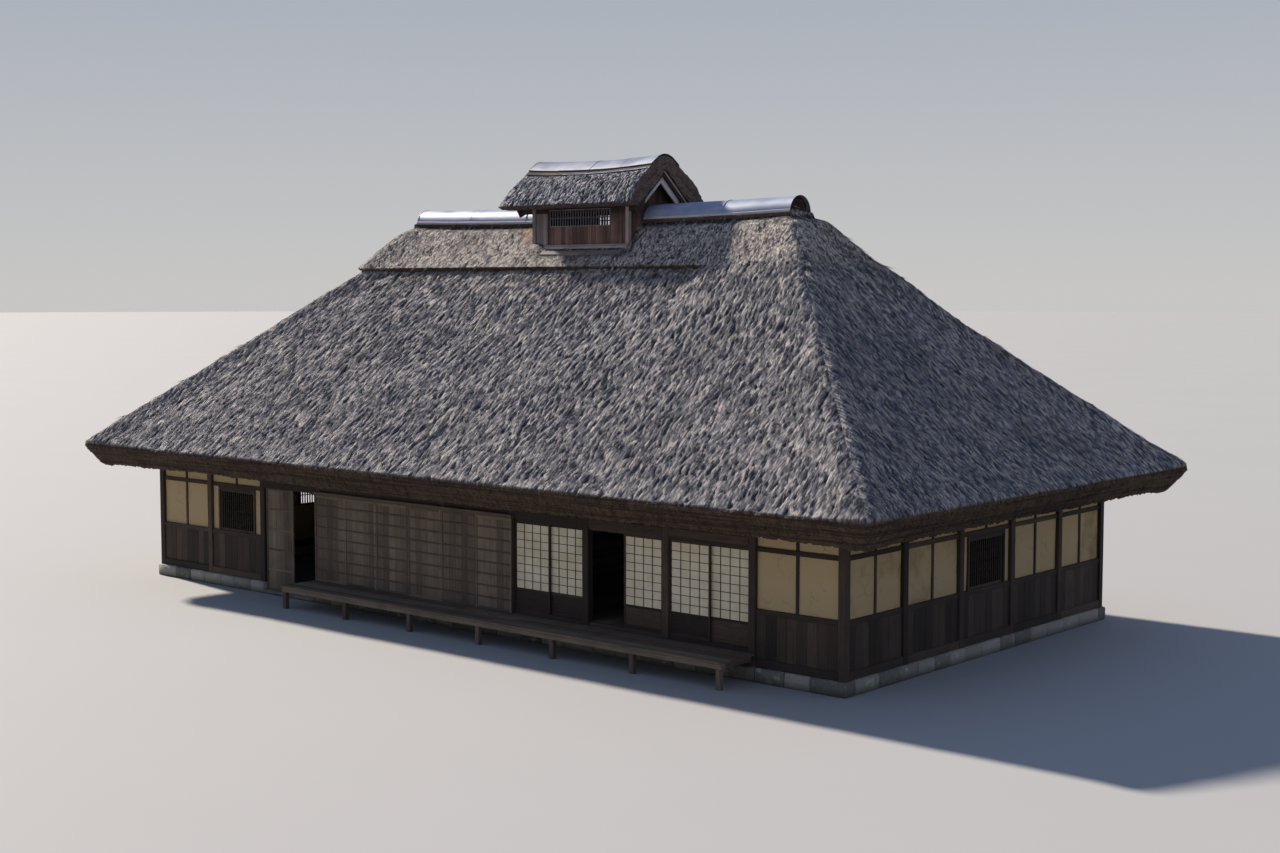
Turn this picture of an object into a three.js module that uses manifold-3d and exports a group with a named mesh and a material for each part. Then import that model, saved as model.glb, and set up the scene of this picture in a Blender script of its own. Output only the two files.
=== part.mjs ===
// Minka farmhouse: a hipped thatched roof with a metal ridge cap and a thatched smoke vent, on a timber
// frame with boarded and plastered walls. Millimetres, +Z up, X along the ridge, front towards -Y.
// The origin is on the ground at the middle of the plan.

import * as THREE from "three";
import { mergeVertices } from "three/addons/utils/BufferGeometryUtils.js";
import Module from "manifold-3d";

const wasm = await Module();
wasm.setup();

// Fit between neighbouring pieces
const GAP = 0.3;

// Main roof: distances run outwards from the ridge line, or from its end on the two hip ends
const HIP_X = 4967;
const RIDGE_SAG = 80;
const CAP_HALF = 333;
const CAP_SEAT_Z = 8075;
const CAP_TOP_Z = 8400;
const CAP_SHEET = 8;
const CAP_HEM = 30;
const LIP_OUT = 1290;
const LIP_Z = 7060;
const LIP_BACK = 86;
const LIP_DROP = 83;
const EAVE_OUT = 5700;
const EAVE_Z = 3075;
const EAVE_FOOT_OUT = 5420;
const RAFTER_SLOPE = 0.9;

// House body
const WALL_Y = 4550;
const WALL_X = HIP_X + WALL_Y;
const BAYS = 10;
const SIDE_BAYS = 5;
const TIMBER = 150;
const FOUNDATION_TOP = 250;
const FOUNDATION_OUT = 50;
const FOUNDATION_WIDTH = 300;
const THRESHOLD_TOP = 80;
const SILL_TOP = 400;
const LINTEL_Z = 2300;
const LINTEL_TOP = 2450;
const PLATE_Z = 3180;
const PLATE_TOP = 3400;
const WALL_NEAR = 60;
const WALL_FAR = 120;
const FLOOR_TOP = 550;
const FLOOR_THICK = 40;
const DECK_TOP = 480;
const DECK_THICK = 35;
const DECK_DEPTH = 950;

// Bays of the front, counted from the left
const DOOR_BAY = 2;
const SHUTTER_BAYS = [3, 6];
const SCREEN_BAYS = [6, 7, 8];
const OPEN_SCREEN_BAY = 7;
const WINDOW = { half: 600, z0: 1250, z1: 2150 };

// Smoke vent
const VENT_X0 = -1145;
const VENT_X1 = 1585;
const VENT_HALF = 800;
const VENT_POST = 90;
const VENT_HEAD_Z = 8180;
const VENT_HEAD_TOP = 8270;
const VENT_ROOF_X0 = -1600;
const VENT_ROOF_X1 = 1900;
const VENT_SAG = 60;
const VENT_APEX_Z = 9040;
const VENT_SAG_ABOVE = 9045;
const VENT_UNDER_OUT = 880;
const VENT_FALL = (VENT_APEX_Z - VENT_HEAD_TOP) / VENT_UNDER_OUT;
const VENT_PLATE_TOP = VENT_APEX_Z - VENT_FALL * VENT_HALF;
const VENT_WINDOW = { x0: -560, x1: 1070, z0: 7880, z1: VENT_HEAD_Z - GAP };
const VENT_BATTEN = { x0: -740, x1: -690, thick: 29 };
const VENT_BOARD_NEAR = 30;
const VENT_BOARD_FAR = 60;
const BARGE_SETBACK = 60;
const BARGE_THICK = 40;
const APRON_RUN = 150;
const APRON_UPSTAND = 45;
const APRON_SETTLED = 25;
const APRON_THICK = 14;

// Sliding screens run in two grooves behind the face of the posts
const OUTER_GROOVE = [40, 70];
const INNER_GROOVE = [85, 115];

const colours = {
  thatch: 0x6f675c,
  ridgeMetal: 0x8e9aa8,
  ventMetal: 0x9aa3ad,
  ventBoards: 0x5b3f33,
  paleTimber: 0x93897c,
  timber: 0x4a3d33,
  plaster: 0xc9bda4,
  boards: 0x6a5a4b,
  stone: 0x8b8a84,
  paper: 0xe6dfcc,
};

function material(name, roughness = 0.9, metalness = 0) {
  return new THREE.MeshStandardMaterial({ color: colours[name], roughness, metalness });
}

const house = new THREE.Group();

function add(name, shape, finish) {
  const mesh = new THREE.Mesh(shape instanceof THREE.BufferGeometry ? shape : geometryOf(shape), finish);
  mesh.name = name;
  house.add(mesh);
  return mesh;
}

// A three.js geometry as a manifold-3d solid, and back
function solidOf(geometry) {
  const g = geometry.clone();
  g.deleteAttribute("normal");
  g.deleteAttribute("uv");
  const merged = mergeVertices(g, 1e-3);
  return new wasm.Manifold(
    new wasm.Mesh({
      numProp: 3,
      vertProperties: new Float32Array(merged.attributes.position.array),
      triVerts: new Uint32Array(merged.index.array),
    }),
  );
}

function geometryOf(solid) {
  const mesh = solid.getMesh();
  return new THREE.BufferGeometry()
    .setAttribute("position", new THREE.BufferAttribute(mesh.vertProperties, 3))
    .setIndex(new THREE.BufferAttribute(mesh.triVerts, 1));
}

function join(pieces) {
  return pieces.map(solidOf).reduce((all, one) => all.add(one));
}

function box(x0, x1, y0, y1, z0, z1) {
  return new THREE.BoxGeometry(x1 - x0, y1 - y0, z1 - z0).translate(
    (x0 + x1) / 2,
    (y0 + y1) / 2,
    (z0 + z1) / 2,
  );
}

function outline(points, holes = []) {
  const shape = new THREE.Shape(points.map(([u, v]) => new THREE.Vector2(u, v)));
  for (const hole of holes) {
    shape.holes.push(new THREE.Path(hole.map(([u, v]) => new THREE.Vector2(u, v))));
  }
  return shape;
}

function extrude(shape, depth, steps, axes, at) {
  const geometry = new THREE.ExtrudeGeometry(shape, { depth, steps, bevelEnabled: false });
  return geometry.applyMatrix4(new THREE.Matrix4().makeBasis(...axes).setPosition(...at));
}

const X = new THREE.Vector3(1, 0, 0);
const Y = new THREE.Vector3(0, 1, 0);
const Z = new THREE.Vector3(0, 0, 1);
const MINUS_Y = new THREE.Vector3(0, -1, 0);

// An outline in (y, z) run along X, one in (x, z) run along Y, and a plan in (x, y) run up Z
function alongX(points, x0, x1, steps = 1, holes = []) {
  return extrude(outline(points, holes), x1 - x0, steps, [Y, Z, X], [x0, 0, 0]);
}

function alongY(points, y0, y1, holes = []) {
  return extrude(outline(points, holes), y1 - y0, 1, [X, Z, MINUS_Y], [0, y1, 0]);
}

function upZ(points, z0, z1) {
  return extrude(outline(points), z1 - z0, 1, [X, Y, Z], [0, 0, z0]);
}

// The ridge dips towards its middle. Only what lies above a height dips, and the dip fades out between
// two distances from the ridge.
function sagRidge(geometry, centre, half, dip, above, from, to) {
  const p = geometry.attributes.position;
  for (let i = 0; i < p.count; i += 1) {
    if (p.getZ(i) < above) continue;
    const along = (p.getX(i) - centre) / half;
    const fade = THREE.MathUtils.clamp((to - Math.abs(p.getY(i))) / (to - from), 0, 1);
    p.setZ(i, p.getZ(i) - dip * fade * Math.max(0, 1 - along * along));
  }
  return geometry;
}

function turned(geometry, angle) {
  return geometry.clone().rotateZ(angle);
}

function facingFront(points) {
  return points.map(([out, z]) => [-out, z]).reverse();
}

// Height of the rafter line, the underside of the thatch, at a distance from the ridge
function rafterZ(out) {
  return PLATE_TOP + 0.4 + RAFTER_SLOPE * (WALL_Y - out);
}

// Section of the thatch: upper coat with its cut lip, and lower coat down to the thick eave
const LIP_FOOT = [LIP_OUT - LIP_BACK, LIP_Z - LIP_DROP];
const JOINT_FOOT_OUT = 962;

const CAP_BED_OUT = CAP_HALF + CAP_HEM + 2;
const UPPER_TOP = [
  [0, CAP_SEAT_Z + 225],
  [150, CAP_SEAT_Z + 175],
  [260, CAP_SEAT_Z + 85],
  [300, CAP_SEAT_Z],
  [CAP_BED_OUT, CAP_SEAT_Z],
  [LIP_OUT, LIP_Z],
  LIP_FOOT,
];

const LOWER_REST = [
  [EAVE_OUT, EAVE_Z],
  [EAVE_OUT + 12, EAVE_Z - 70],
  [EAVE_OUT - 40, EAVE_Z - 160],
  [EAVE_FOOT_OUT, rafterZ(EAVE_FOOT_OUT) - 45],
  [EAVE_FOOT_OUT - 60, rafterZ(EAVE_FOOT_OUT - 60) - 40],
  [EAVE_FOOT_OUT - 260, rafterZ(EAVE_FOOT_OUT - 260)],
];

const RIDGE_FOOT = [0, rafterZ(0)];
const JOINT_FOOT = [JOINT_FOOT_OUT, rafterZ(JOINT_FOOT_OUT)];
const UPPER_SECTION = [...UPPER_TOP, JOINT_FOOT, RIDGE_FOOT].reverse();
const LOWER_SECTION = [LIP_FOOT, ...LOWER_REST, JOINT_FOOT].reverse();
const WHOLE_SECTION = [...UPPER_TOP, ...LOWER_REST, RIDGE_FOOT].reverse();

const PLAN_REACH = EAVE_OUT + 100;
const ABOVE_ROOF = 9000;
const BELOW_VENT = 6500;

function slopePlan(side) {
  const reach = PLAN_REACH;
  const inset = GAP / 2;
  const plan = [
    [-HIP_X, inset],
    [HIP_X, inset],
    [HIP_X + reach, reach + inset],
    [-HIP_X - reach, reach + inset],
  ];
  return side > 0 ? plan : plan.map(([x, y]) => [x, -y]).reverse();
}

function hipPlan(side) {
  const reach = PLAN_REACH;
  const start = HIP_X + GAP;
  const plan = [
    [start, 0],
    [start + reach, -reach],
    [start + reach, reach],
  ];
  return side > 0 ? plan : plan.map(([x, y]) => [-x, y]).reverse();
}

function slope(section, side) {
  const points = side > 0 ? section : facingFront(section);
  const length = HIP_X + EAVE_OUT + 50;
  const slab = alongX(points, -length, length, 40);
  sagRidge(slab, 0, HIP_X + CAP_HALF, RIDGE_SAG, CAP_SEAT_Z - 10, CAP_BED_OUT, LIP_OUT);
  return solidOf(slab).intersect(solidOf(upZ(slopePlan(side), 0, ABOVE_ROOF)));
}

function hipEnd(side) {
  const section = WHOLE_SECTION.map(([out, z]) => [side * (HIP_X + out), z]);
  const points = side > 0 ? section : section.reverse();
  const slab = alongY(points, -EAVE_OUT - 50, EAVE_OUT + 50);
  return solidOf(slab).intersect(solidOf(upZ(hipPlan(side), 0, ABOVE_ROOF)));
}

// The roof is open under the vent, so that smoke can leave the house
function ventWell() {
  const half = VENT_HALF + GAP;
  return solidOf(box(VENT_X0 - GAP, VENT_X1 + GAP, -half, half, BELOW_VENT, ABOVE_ROOF));
}

function thatch() {
  const straw = material("thatch");
  // The lower coat's joint face is moved off the upper coat by the fit
  const lowerSection = LOWER_SECTION.map(([out, z]) => {
    const atJoint = out <= LIP_FOOT[0];
    return atJoint ? [out + GAP, z - GAP] : [out, z];
  });
  for (const [name, side] of [["front", -1], ["rear", 1]]) {
    add(`${name}_thatch_upper`, slope(UPPER_SECTION, side).subtract(ventWell()), straw);
    add(`${name}_thatch_lower`, slope(lowerSection, side), straw);
  }
  add("left_thatch", hipEnd(-1), straw);
  add("right_thatch", hipEnd(1), straw);
}

// Half-round metal cap with turned-out hems, in two stretches beside the vent
function ridgeCapSection() {
  const inner = CAP_HALF - CAP_SHEET;
  const rise = CAP_TOP_Z - CAP_SEAT_Z - GAP;
  const seat = CAP_SEAT_Z + GAP;
  const steps = 16;
  const arc = (half, height) =>
    Array.from({ length: steps + 1 }, (_, i) => {
      const angle = (Math.PI * i) / steps;
      return [half * Math.cos(angle), seat + height * Math.sin(angle)];
    });
  const hem = CAP_HALF + CAP_HEM;
  const outer = arc(CAP_HALF, rise);
  outer[0][1] += CAP_SHEET;
  outer[steps][1] += CAP_SHEET;
  return [
    [hem, seat],
    [hem, seat + CAP_SHEET],
    ...outer,
    [-hem, seat + CAP_SHEET],
    [-hem, seat],
    ...arc(inner, rise - CAP_SHEET).reverse(),
  ];
}

function ridgeCaps() {
  const sheet = material("ridgeMetal", 0.45, 0.6);
  const end = HIP_X + CAP_HALF;
  const stretches = [
    ["ridge_cap_left", -end, VENT_X0 - GAP],
    ["ridge_cap_right", VENT_X1 + GAP, end],
  ];
  for (const [name, x0, x1] of stretches) {
    const cap = alongX(ridgeCapSection(), x0, x1, 8);
    add(name, sagRidge(cap, 0, end, RIDGE_SAG, 0, CAP_BED_OUT, LIP_OUT), sheet);
  }
}

// Smoke vent roof
const VENT_CAP_TOP = [[0, 9353], [100, 9343], [220, 9300], [420, 9165], [434, 9137], [426, 9134]];
const VENT_CAP_SKIRT = [[414, 9146], [522, 9060], [517, 9050]];
const VENT_CAP_UNDER = [[400, 9148], [220, 9286], [100, 9329], [0, 9339]];
const VENT_EAVE = [[720, 8890], [950, 8670], [1110, 8480], [1205, 8350], [1170, VENT_HEAD_TOP + GAP]];

function ventCapSection() {
  const half = [...VENT_CAP_TOP, ...VENT_CAP_SKIRT, ...VENT_CAP_UNDER];
  const top = [...VENT_CAP_TOP, ...VENT_CAP_SKIRT];
  const under = half.slice(top.length);
  const mirrored = (points) => points.map(([y, z]) => [-y, z]).reverse();
  const over = [...mirrored(top), ...top.slice(1)];
  const below = [...under, ...mirrored(under).slice(1)];
  return [...over, ...below].reverse();
}

function ventThatchSection() {
  const seat = [...VENT_CAP_UNDER].reverse().map(([y, z]) => [y, z - 2 * GAP]);
  return [
    ...seat,
    [517, 9050 - 2 * GAP],
    ...VENT_EAVE,
    [VENT_UNDER_OUT, VENT_HEAD_TOP + GAP],
    [0, VENT_APEX_Z],
  ].reverse();
}

function ventSag(geometry) {
  const centre = (VENT_ROOF_X0 + VENT_ROOF_X1) / 2;
  return sagRidge(geometry, centre, (VENT_ROOF_X1 - VENT_ROOF_X0) / 2, VENT_SAG, VENT_SAG_ABOVE, 530, 900);
}

function ventRoof() {
  const straw = material("thatch");
  const section = ventThatchSection().map(([y, z]) => [y + GAP / 2, z]);
  const length = [VENT_ROOF_X0, VENT_ROOF_X1, 8];
  add("vent_front_thatch", ventSag(alongX(facingFront(section), ...length)), straw);
  add("vent_rear_thatch", ventSag(alongX(section, ...length)), straw);
  const metal = material("ventMetal", 0.4, 0.7);
  add("vent_ridge_cap", ventSag(alongX(ventCapSection(), ...length)), metal);
}

function ventBargeboards() {
  const boards = material("paleTimber");
  const fit = GAP * 2;
  const width = 180;
  const flare = 620;
  const half = [
    [0, VENT_APEX_Z - fit],
    [VENT_UNDER_OUT - fit, VENT_HEAD_TOP],
    [780, 8120],
    [700, 8150],
    [flare, VENT_APEX_Z - width - VENT_FALL * flare],
    [0, VENT_APEX_Z - width],
  ];
  const legs = half.slice(1, -1);
  const mirrored = legs.map(([y, z]) => [-y, z]);
  const shape = [half[0], ...mirrored, half.at(-1), ...legs.reverse()];
  const left0 = VENT_ROOF_X0 + BARGE_SETBACK;
  const right1 = VENT_ROOF_X1 - BARGE_SETBACK;
  add("vent_left_bargeboards", alongX(shape, left0, left0 + BARGE_THICK), boards);
  add("vent_right_bargeboards", alongX(shape, right1 - BARGE_THICK, right1), boards);
}

// Smoke vent walls: a post at each corner, a beam at the foot, a wall plate under the thatch, and a thin
// post beside the lattice
const VENT_FOOT = rafterZ(VENT_HALF - VENT_POST) + GAP;

function ventSide(side, near, far) {
  return side < 0 ? [-VENT_HALF + near, -VENT_HALF + far] : [VENT_HALF - far, VENT_HALF - near];
}

function ventFrame() {
  const pieces = [];
  for (const side of [-1, 1]) {
    const y = ventSide(side, 0, VENT_POST);
    const batten = ventSide(side, 0, VENT_BATTEN.thick);
    pieces.push(box(VENT_X0, VENT_X1, ...y, VENT_FOOT, VENT_FOOT + VENT_POST));
    pieces.push(box(VENT_X0, VENT_X1, ...y, VENT_HEAD_Z, VENT_PLATE_TOP));
    pieces.push(box(VENT_X0, VENT_X0 + VENT_POST, ...y, VENT_FOOT, VENT_HEAD_TOP));
    pieces.push(box(VENT_X1 - VENT_POST, VENT_X1, ...y, VENT_FOOT, VENT_HEAD_TOP));
    pieces.push(box(VENT_BATTEN.x0, VENT_BATTEN.x1, ...batten, VENT_FOOT, VENT_HEAD_TOP));
  }
  const beam = 40;
  for (const x1 of [VENT_X0 + VENT_POST, VENT_X1 - VENT_POST + beam]) {
    pieces.push(box(x1 - beam, x1, -VENT_HALF, VENT_HALF, VENT_HEAD_Z, VENT_HEAD_TOP));
  }
  add("vent_frame", join(pieces), material("paleTimber"));
}

function ventBoards(name, side) {
  const foot = VENT_FOOT + VENT_POST + GAP;
  const x0 = VENT_X0 + VENT_POST + GAP;
  const x1 = VENT_X1 - VENT_POST - GAP;
  const head = VENT_HEAD_Z - GAP;
  const { x0: w0, x1: w1, z0, z1 } = VENT_WINDOW;
  const wall = [[x0, foot], [x1, foot], [x1, head], [w1, z1], [w1, z0], [w0, z0], [w0, z1], [x0, head]];
  const y = ventSide(side, VENT_BOARD_NEAR, VENT_BOARD_FAR);
  add(name, alongY(wall, ...y), material("ventBoards"));
}

function ventLattice(name, side) {
  const { x0, x1, z0, z1 } = VENT_WINDOW;
  const setIn = 4;
  const y = ventSide(side, VENT_BOARD_NEAR + setIn, VENT_BOARD_FAR - 2);
  const bars = { upright: 22, rails: 2, width: 18 };
  add(name, lattice(x0 + GAP, x1 - GAP, z0 + GAP, z1 - GAP, y, bars), material("timber"));
}

// A framed lattice in a wall along X: upright bars with a few thin rails across them
function lattice(x0, x1, z0, z1, y, { upright, rails, width }) {
  const rim = 40;
  const depth = y[1] - y[0];
  const pieces = [
    box(x0, x1, ...y, z0, z0 + rim),
    box(x0, x1, ...y, z1 - rim, z1),
    box(x0, x0 + rim, ...y, z0, z1),
    box(x1 - rim, x1, ...y, z0, z1),
  ];
  const recess = 1;
  for (let i = 1; i <= upright; i += 1) {
    const x = x0 + rim + ((x1 - x0 - 2 * rim) * i) / (upright + 1);
    pieces.push(box(x - width / 2, x + width / 2, y[0] + recess, y[1] - depth / 3, z0, z1));
  }
  for (let i = 1; i <= rails; i += 1) {
    const z = z0 + rim + ((z1 - z0 - 2 * rim) * i) / (rails + 1);
    pieces.push(box(x0, x1, y[0] + depth / 2, y[1] - recess, z - width / 2, z + width / 2));
  }
  return join(pieces);
}

// A gable wall stands on the roof trusses and ends under the thatch of the vent
function ventGableWall(name, x0) {
  const thick = 30;
  const rest = 2;
  const under = 12;
  const edge = VENT_HALF - VENT_POST - GAP;
  const peak = VENT_APEX_Z - under - rest * 2;
  const shoulder = peak - VENT_FALL * edge;
  const shape = [
    [-edge, rafterZ(edge) + rest],
    [0, rafterZ(0) + rest],
    [edge, rafterZ(edge) + rest],
    [edge, shoulder],
    [0, peak],
    [-edge, shoulder],
  ];
  add(name, alongX(shape, x0, x0 + thick), material("ventBoards"));
}

// Sheet apron that lies on the thatch along the foot of the vent's front and rear wall
function ventApron(name, side) {
  const fall = (CAP_SEAT_Z - LIP_Z) / (LIP_OUT - CAP_BED_OUT);
  const bed = 4;
  const lie = CAP_SEAT_Z - fall * (VENT_HALF - CAP_BED_OUT) + bed - APRON_SETTLED;
  const far = VENT_HALF + APRON_RUN;
  const section = [
    [VENT_HALF + GAP, lie],
    [far, lie - fall * APRON_RUN],
    [far, lie - fall * APRON_RUN + APRON_THICK],
    [VENT_HALF + APRON_THICK, lie + APRON_THICK],
    [VENT_HALF + APRON_THICK, lie + APRON_UPSTAND],
    [VENT_HALF + GAP, lie + APRON_UPSTAND],
  ];
  const points = side < 0 ? facingFront(section) : section;
  add(name, alongX(points, VENT_X0, VENT_X1), material("paleTimber", 0.6, 0.2));
}

function vent() {
  ventRoof();
  ventBargeboards();
  ventFrame();
  ventBoards("vent_front_boards", -1);
  ventBoards("vent_rear_boards", 1);
  ventLattice("vent_front_lattice", -1);
  ventLattice("vent_rear_lattice", 1);
  ventGableWall("vent_left_wall", VENT_X0 + 15);
  ventGableWall("vent_right_wall", VENT_X1 - 45);
  ventApron("vent_front_apron", -1);
  ventApron("vent_rear_apron", 1);
}

// House body: post lines along the front and along the ends
const BAY = (2 * WALL_X) / BAYS;
const SIDE_BAY = (2 * WALL_Y) / SIDE_BAYS;
const HALF_POST = TIMBER / 2;
const LAST_SCREEN_POST = SCREEN_BAYS.at(-1) + 1;

function bayLine(k) {
  return -WALL_X + k * BAY;
}

function clearBay(k) {
  const first = k === 0 ? TIMBER : HALF_POST;
  const last = k === BAYS - 1 ? TIMBER : HALF_POST;
  return [bayLine(k) + first, bayLine(k + 1) - last];
}

// Stone footing, with a low threshold slab in the bay of the entrance
function foundation() {
  const x = WALL_X + FOUNDATION_OUT;
  const y = WALL_Y + FOUNDATION_OUT;
  const w = FOUNDATION_WIDTH;
  const past = 10;
  const stone = material("stone");
  const ring = solidOf(box(-x, x, -y, y, 0, FOUNDATION_TOP));
  const inside = solidOf(box(-x + w, x - w, -y + w, y - w, -past, FOUNDATION_TOP + past));
  const [x0, x1] = clearBay(DOOR_BAY);
  const doorway = solidOf(box(x0, x1, -y - past, -y + w + past, -past, FOUNDATION_TOP + past));
  add("foundation", ring.subtract(inside).subtract(doorway), stone);
  add("entrance_threshold", box(x0 + GAP, x1 - GAP, -y, -y + w, 0, THRESHOLD_TOP), stone);
}

// The wall sheet passes through each post in a slot, so that posts stand proud on both sides
function slotY(x0, x1, z0, z1, side) {
  const near = WALL_Y - WALL_NEAR + GAP;
  const far = WALL_Y - WALL_FAR - GAP;
  const y = side < 0 ? [-near, -far] : [far, near];
  return solidOf(box(x0, x1, ...y, z0, z1));
}

const FRONT_DEPTH = [-WALL_Y, -WALL_Y + TIMBER];
const REAR_DEPTH = [WALL_Y - TIMBER, WALL_Y];

// The post lines from one number to another, on their sill
function postRow(y, from, to) {
  const left = (k) => THREE.MathUtils.clamp(bayLine(k) - HALF_POST, -WALL_X, WALL_X - TIMBER);
  const pieces = [box(left(from), left(to) + TIMBER, ...y, FOUNDATION_TOP + GAP, SILL_TOP)];
  for (let k = from; k <= to; k += 1) {
    pieces.push(box(left(k), left(k) + TIMBER, ...y, FOUNDATION_TOP + GAP, PLATE_Z - GAP));
  }
  return pieces;
}

function plate(name, y) {
  add(name, box(-WALL_X, WALL_X, ...y, PLATE_Z, PLATE_TOP), material("timber"));
}

function frontFrames() {
  const timber = material("timber");
  const doorPost = bayLine(DOOR_BAY);
  const nextPost = bayLine(DOOR_BAY + 1);
  const lastPost = bayLine(LAST_SCREEN_POST);
  const leftSlot = slotY(-WALL_X + TIMBER, doorPost - HALF_POST, SILL_TOP, PLATE_Z, -1);
  const left = join(postRow(FRONT_DEPTH, 0, DOOR_BAY)).subtract(leftSlot);
  add("front_left_frame", left, timber);
  const lintel = box(nextPost, lastPost, ...FRONT_DEPTH, LINTEL_Z, LINTEL_TOP);
  const upperSlot = slotY(nextPost - HALF_POST, lastPost - HALF_POST, LINTEL_TOP, PLATE_Z, -1);
  const right = join([...postRow(FRONT_DEPTH, DOOR_BAY + 1, BAYS), lintel]).subtract(upperSlot);
  add("front_right_frame", right, timber);
  const [door0, door1] = clearBay(DOOR_BAY);
  add("entrance_lintel", box(door0 + GAP, door1 - GAP, ...FRONT_DEPTH, LINTEL_Z, LINTEL_TOP), timber);
  plate("front_plate", FRONT_DEPTH);
}

function rearFrame() {
  const slot = slotY(-WALL_X + TIMBER, WALL_X - TIMBER, SILL_TOP, PLATE_Z, 1);
  add("rear_frame", join(postRow(REAR_DEPTH, 0, BAYS)).subtract(slot), material("timber"));
  plate("rear_plate", REAR_DEPTH);
}

function endFrame() {
  const reach = WALL_Y - TIMBER - GAP;
  const past = 10;
  const x = [WALL_X - TIMBER, WALL_X];
  const pieces = [
    box(...x, -reach, reach, FOUNDATION_TOP + GAP, SILL_TOP),
    box(...x, -reach, reach, PLATE_Z, PLATE_TOP),
  ];
  for (let k = 1; k < SIDE_BAYS; k += 1) {
    const y = -WALL_Y + k * SIDE_BAY;
    pieces.push(box(...x, y - HALF_POST, y + HALF_POST, SILL_TOP, PLATE_Z));
  }
  const near = WALL_X - WALL_NEAR + GAP;
  const far = WALL_X - WALL_FAR - GAP;
  const slot = solidOf(box(far, near, -reach - past, reach + past, SILL_TOP, PLATE_Z));
  return geometryOf(join(pieces).subtract(slot));
}

function frames() {
  frontFrames();
  rearFrame();
  const timber = material("timber");
  const end = endFrame();
  add("right_frame", end, timber);
  add("left_frame", turned(end, Math.PI), timber);
}

// Wall sheets with window holes, and the lattices that fill the holes
function sheet(u0, u1, z0, z1, windowAt) {
  const rectangle = [[u0, z0], [u1, z0], [u1, z1], [u0, z1]];
  if (windowAt === undefined) return [rectangle, []];
  const { half, z0: w0, z1: w1 } = WINDOW;
  const hole = [
    [windowAt - half, w0],
    [windowAt - half, w1],
    [windowAt + half, w1],
    [windowAt + half, w0],
  ];
  return [rectangle, [hole]];
}

function bayMiddle(k) {
  return bayLine(k + 0.5);
}

function walls() {
  const plaster = material("plaster");
  const foot = SILL_TOP + GAP;
  const head = PLATE_Z - GAP;
  const inner = WALL_X - TIMBER - GAP;
  const frontY = [-WALL_Y + WALL_NEAR, -WALL_Y + WALL_FAR];
  const rearY = [WALL_Y - WALL_FAR, WALL_Y - WALL_NEAR];
  const doorPost = bayLine(DOOR_BAY) - HALF_POST - GAP;
  const lastPost = bayLine(LAST_SCREEN_POST);

  const [left, leftHole] = sheet(-inner, doorPost, foot, head, bayMiddle(1));
  add("front_left_wall", alongY(left, ...frontY, leftHole), plaster);
  const [right] = sheet(lastPost + HALF_POST + GAP, inner, foot, head);
  add("front_right_wall", alongY(right, ...frontY), plaster);
  const upperEnds = [bayLine(DOOR_BAY) + HALF_POST + GAP, lastPost - HALF_POST - GAP];
  const [upper] = sheet(...upperEnds, LINTEL_TOP + GAP, head);
  add("front_upper_wall", alongY(upper, ...frontY), plaster);
  const [rear, rearHole] = sheet(-inner, inner, foot, head, bayMiddle(3));
  add("rear_wall", alongY(rear, ...rearY, rearHole), plaster);

  const reach = WALL_Y - TIMBER - GAP;
  const [end, endHole] = sheet(-reach, reach, foot, head, 0);
  const endSheet = alongX(end, WALL_X - WALL_FAR, WALL_X - WALL_NEAR, 1, endHole);
  add("right_wall", endSheet, plaster);
  add("left_wall", turned(endSheet, Math.PI), plaster);
}

function windowLattice(at, wallFace) {
  const { half, z0, z1 } = WINDOW;
  const setIn = 2;
  const y = [wallFace + WALL_NEAR + setIn, wallFace + WALL_FAR - setIn];
  const bars = { upright: 12, rails: 2, width: 30 };
  return geometryOf(lattice(at - half + GAP, at + half - GAP, z0 + GAP, z1 - GAP, y, bars));
}

function windows() {
  const timber = material("timber");
  add("front_window_lattice", windowLattice(bayMiddle(1), -WALL_Y), timber);
  add("rear_window_lattice", turned(windowLattice(-bayMiddle(3), -WALL_Y), Math.PI), timber);
  const end = windowLattice(0, -WALL_X);
  add("left_window_lattice", turned(end, -Math.PI / 2), timber);
  add("right_window_lattice", turned(end, Math.PI / 2), timber);
}

// Sliding parts stand as they are left by day: door and one screen bay open, shutters half drawn
function entranceDoor() {
  const [x0, x1] = clearBay(DOOR_BAY);
  const leafEnd = (x0 + x1) / 2 + 40;
  const y = [-WALL_Y + 60, -WALL_Y + 100];
  const leaf = box(x0 + GAP, leafEnd, ...y, THRESHOLD_TOP + GAP, LINTEL_Z - GAP);
  add("entrance_door", leaf, material("boards"));
}

function rainShutters() {
  const [first, past] = SHUTTER_BAYS;
  const x0 = bayLine(first) - HALF_POST;
  const x1 = bayLine(past) + HALF_POST;
  const end = 20;
  const trackDepth = [-WALL_Y - 60, -WALL_Y - GAP];
  const panelDepth = [-WALL_Y - 48, -WALL_Y - 14];
  const track = box(x0, x1, ...trackDepth, LINTEL_Z - 20, LINTEL_Z + 60);
  const panels = box(x0 + end, x1 - end, ...panelDepth, DECK_TOP + GAP, LINTEL_Z);
  add("rain_shutters", join([track, panels]), material("boards"));
}

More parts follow.
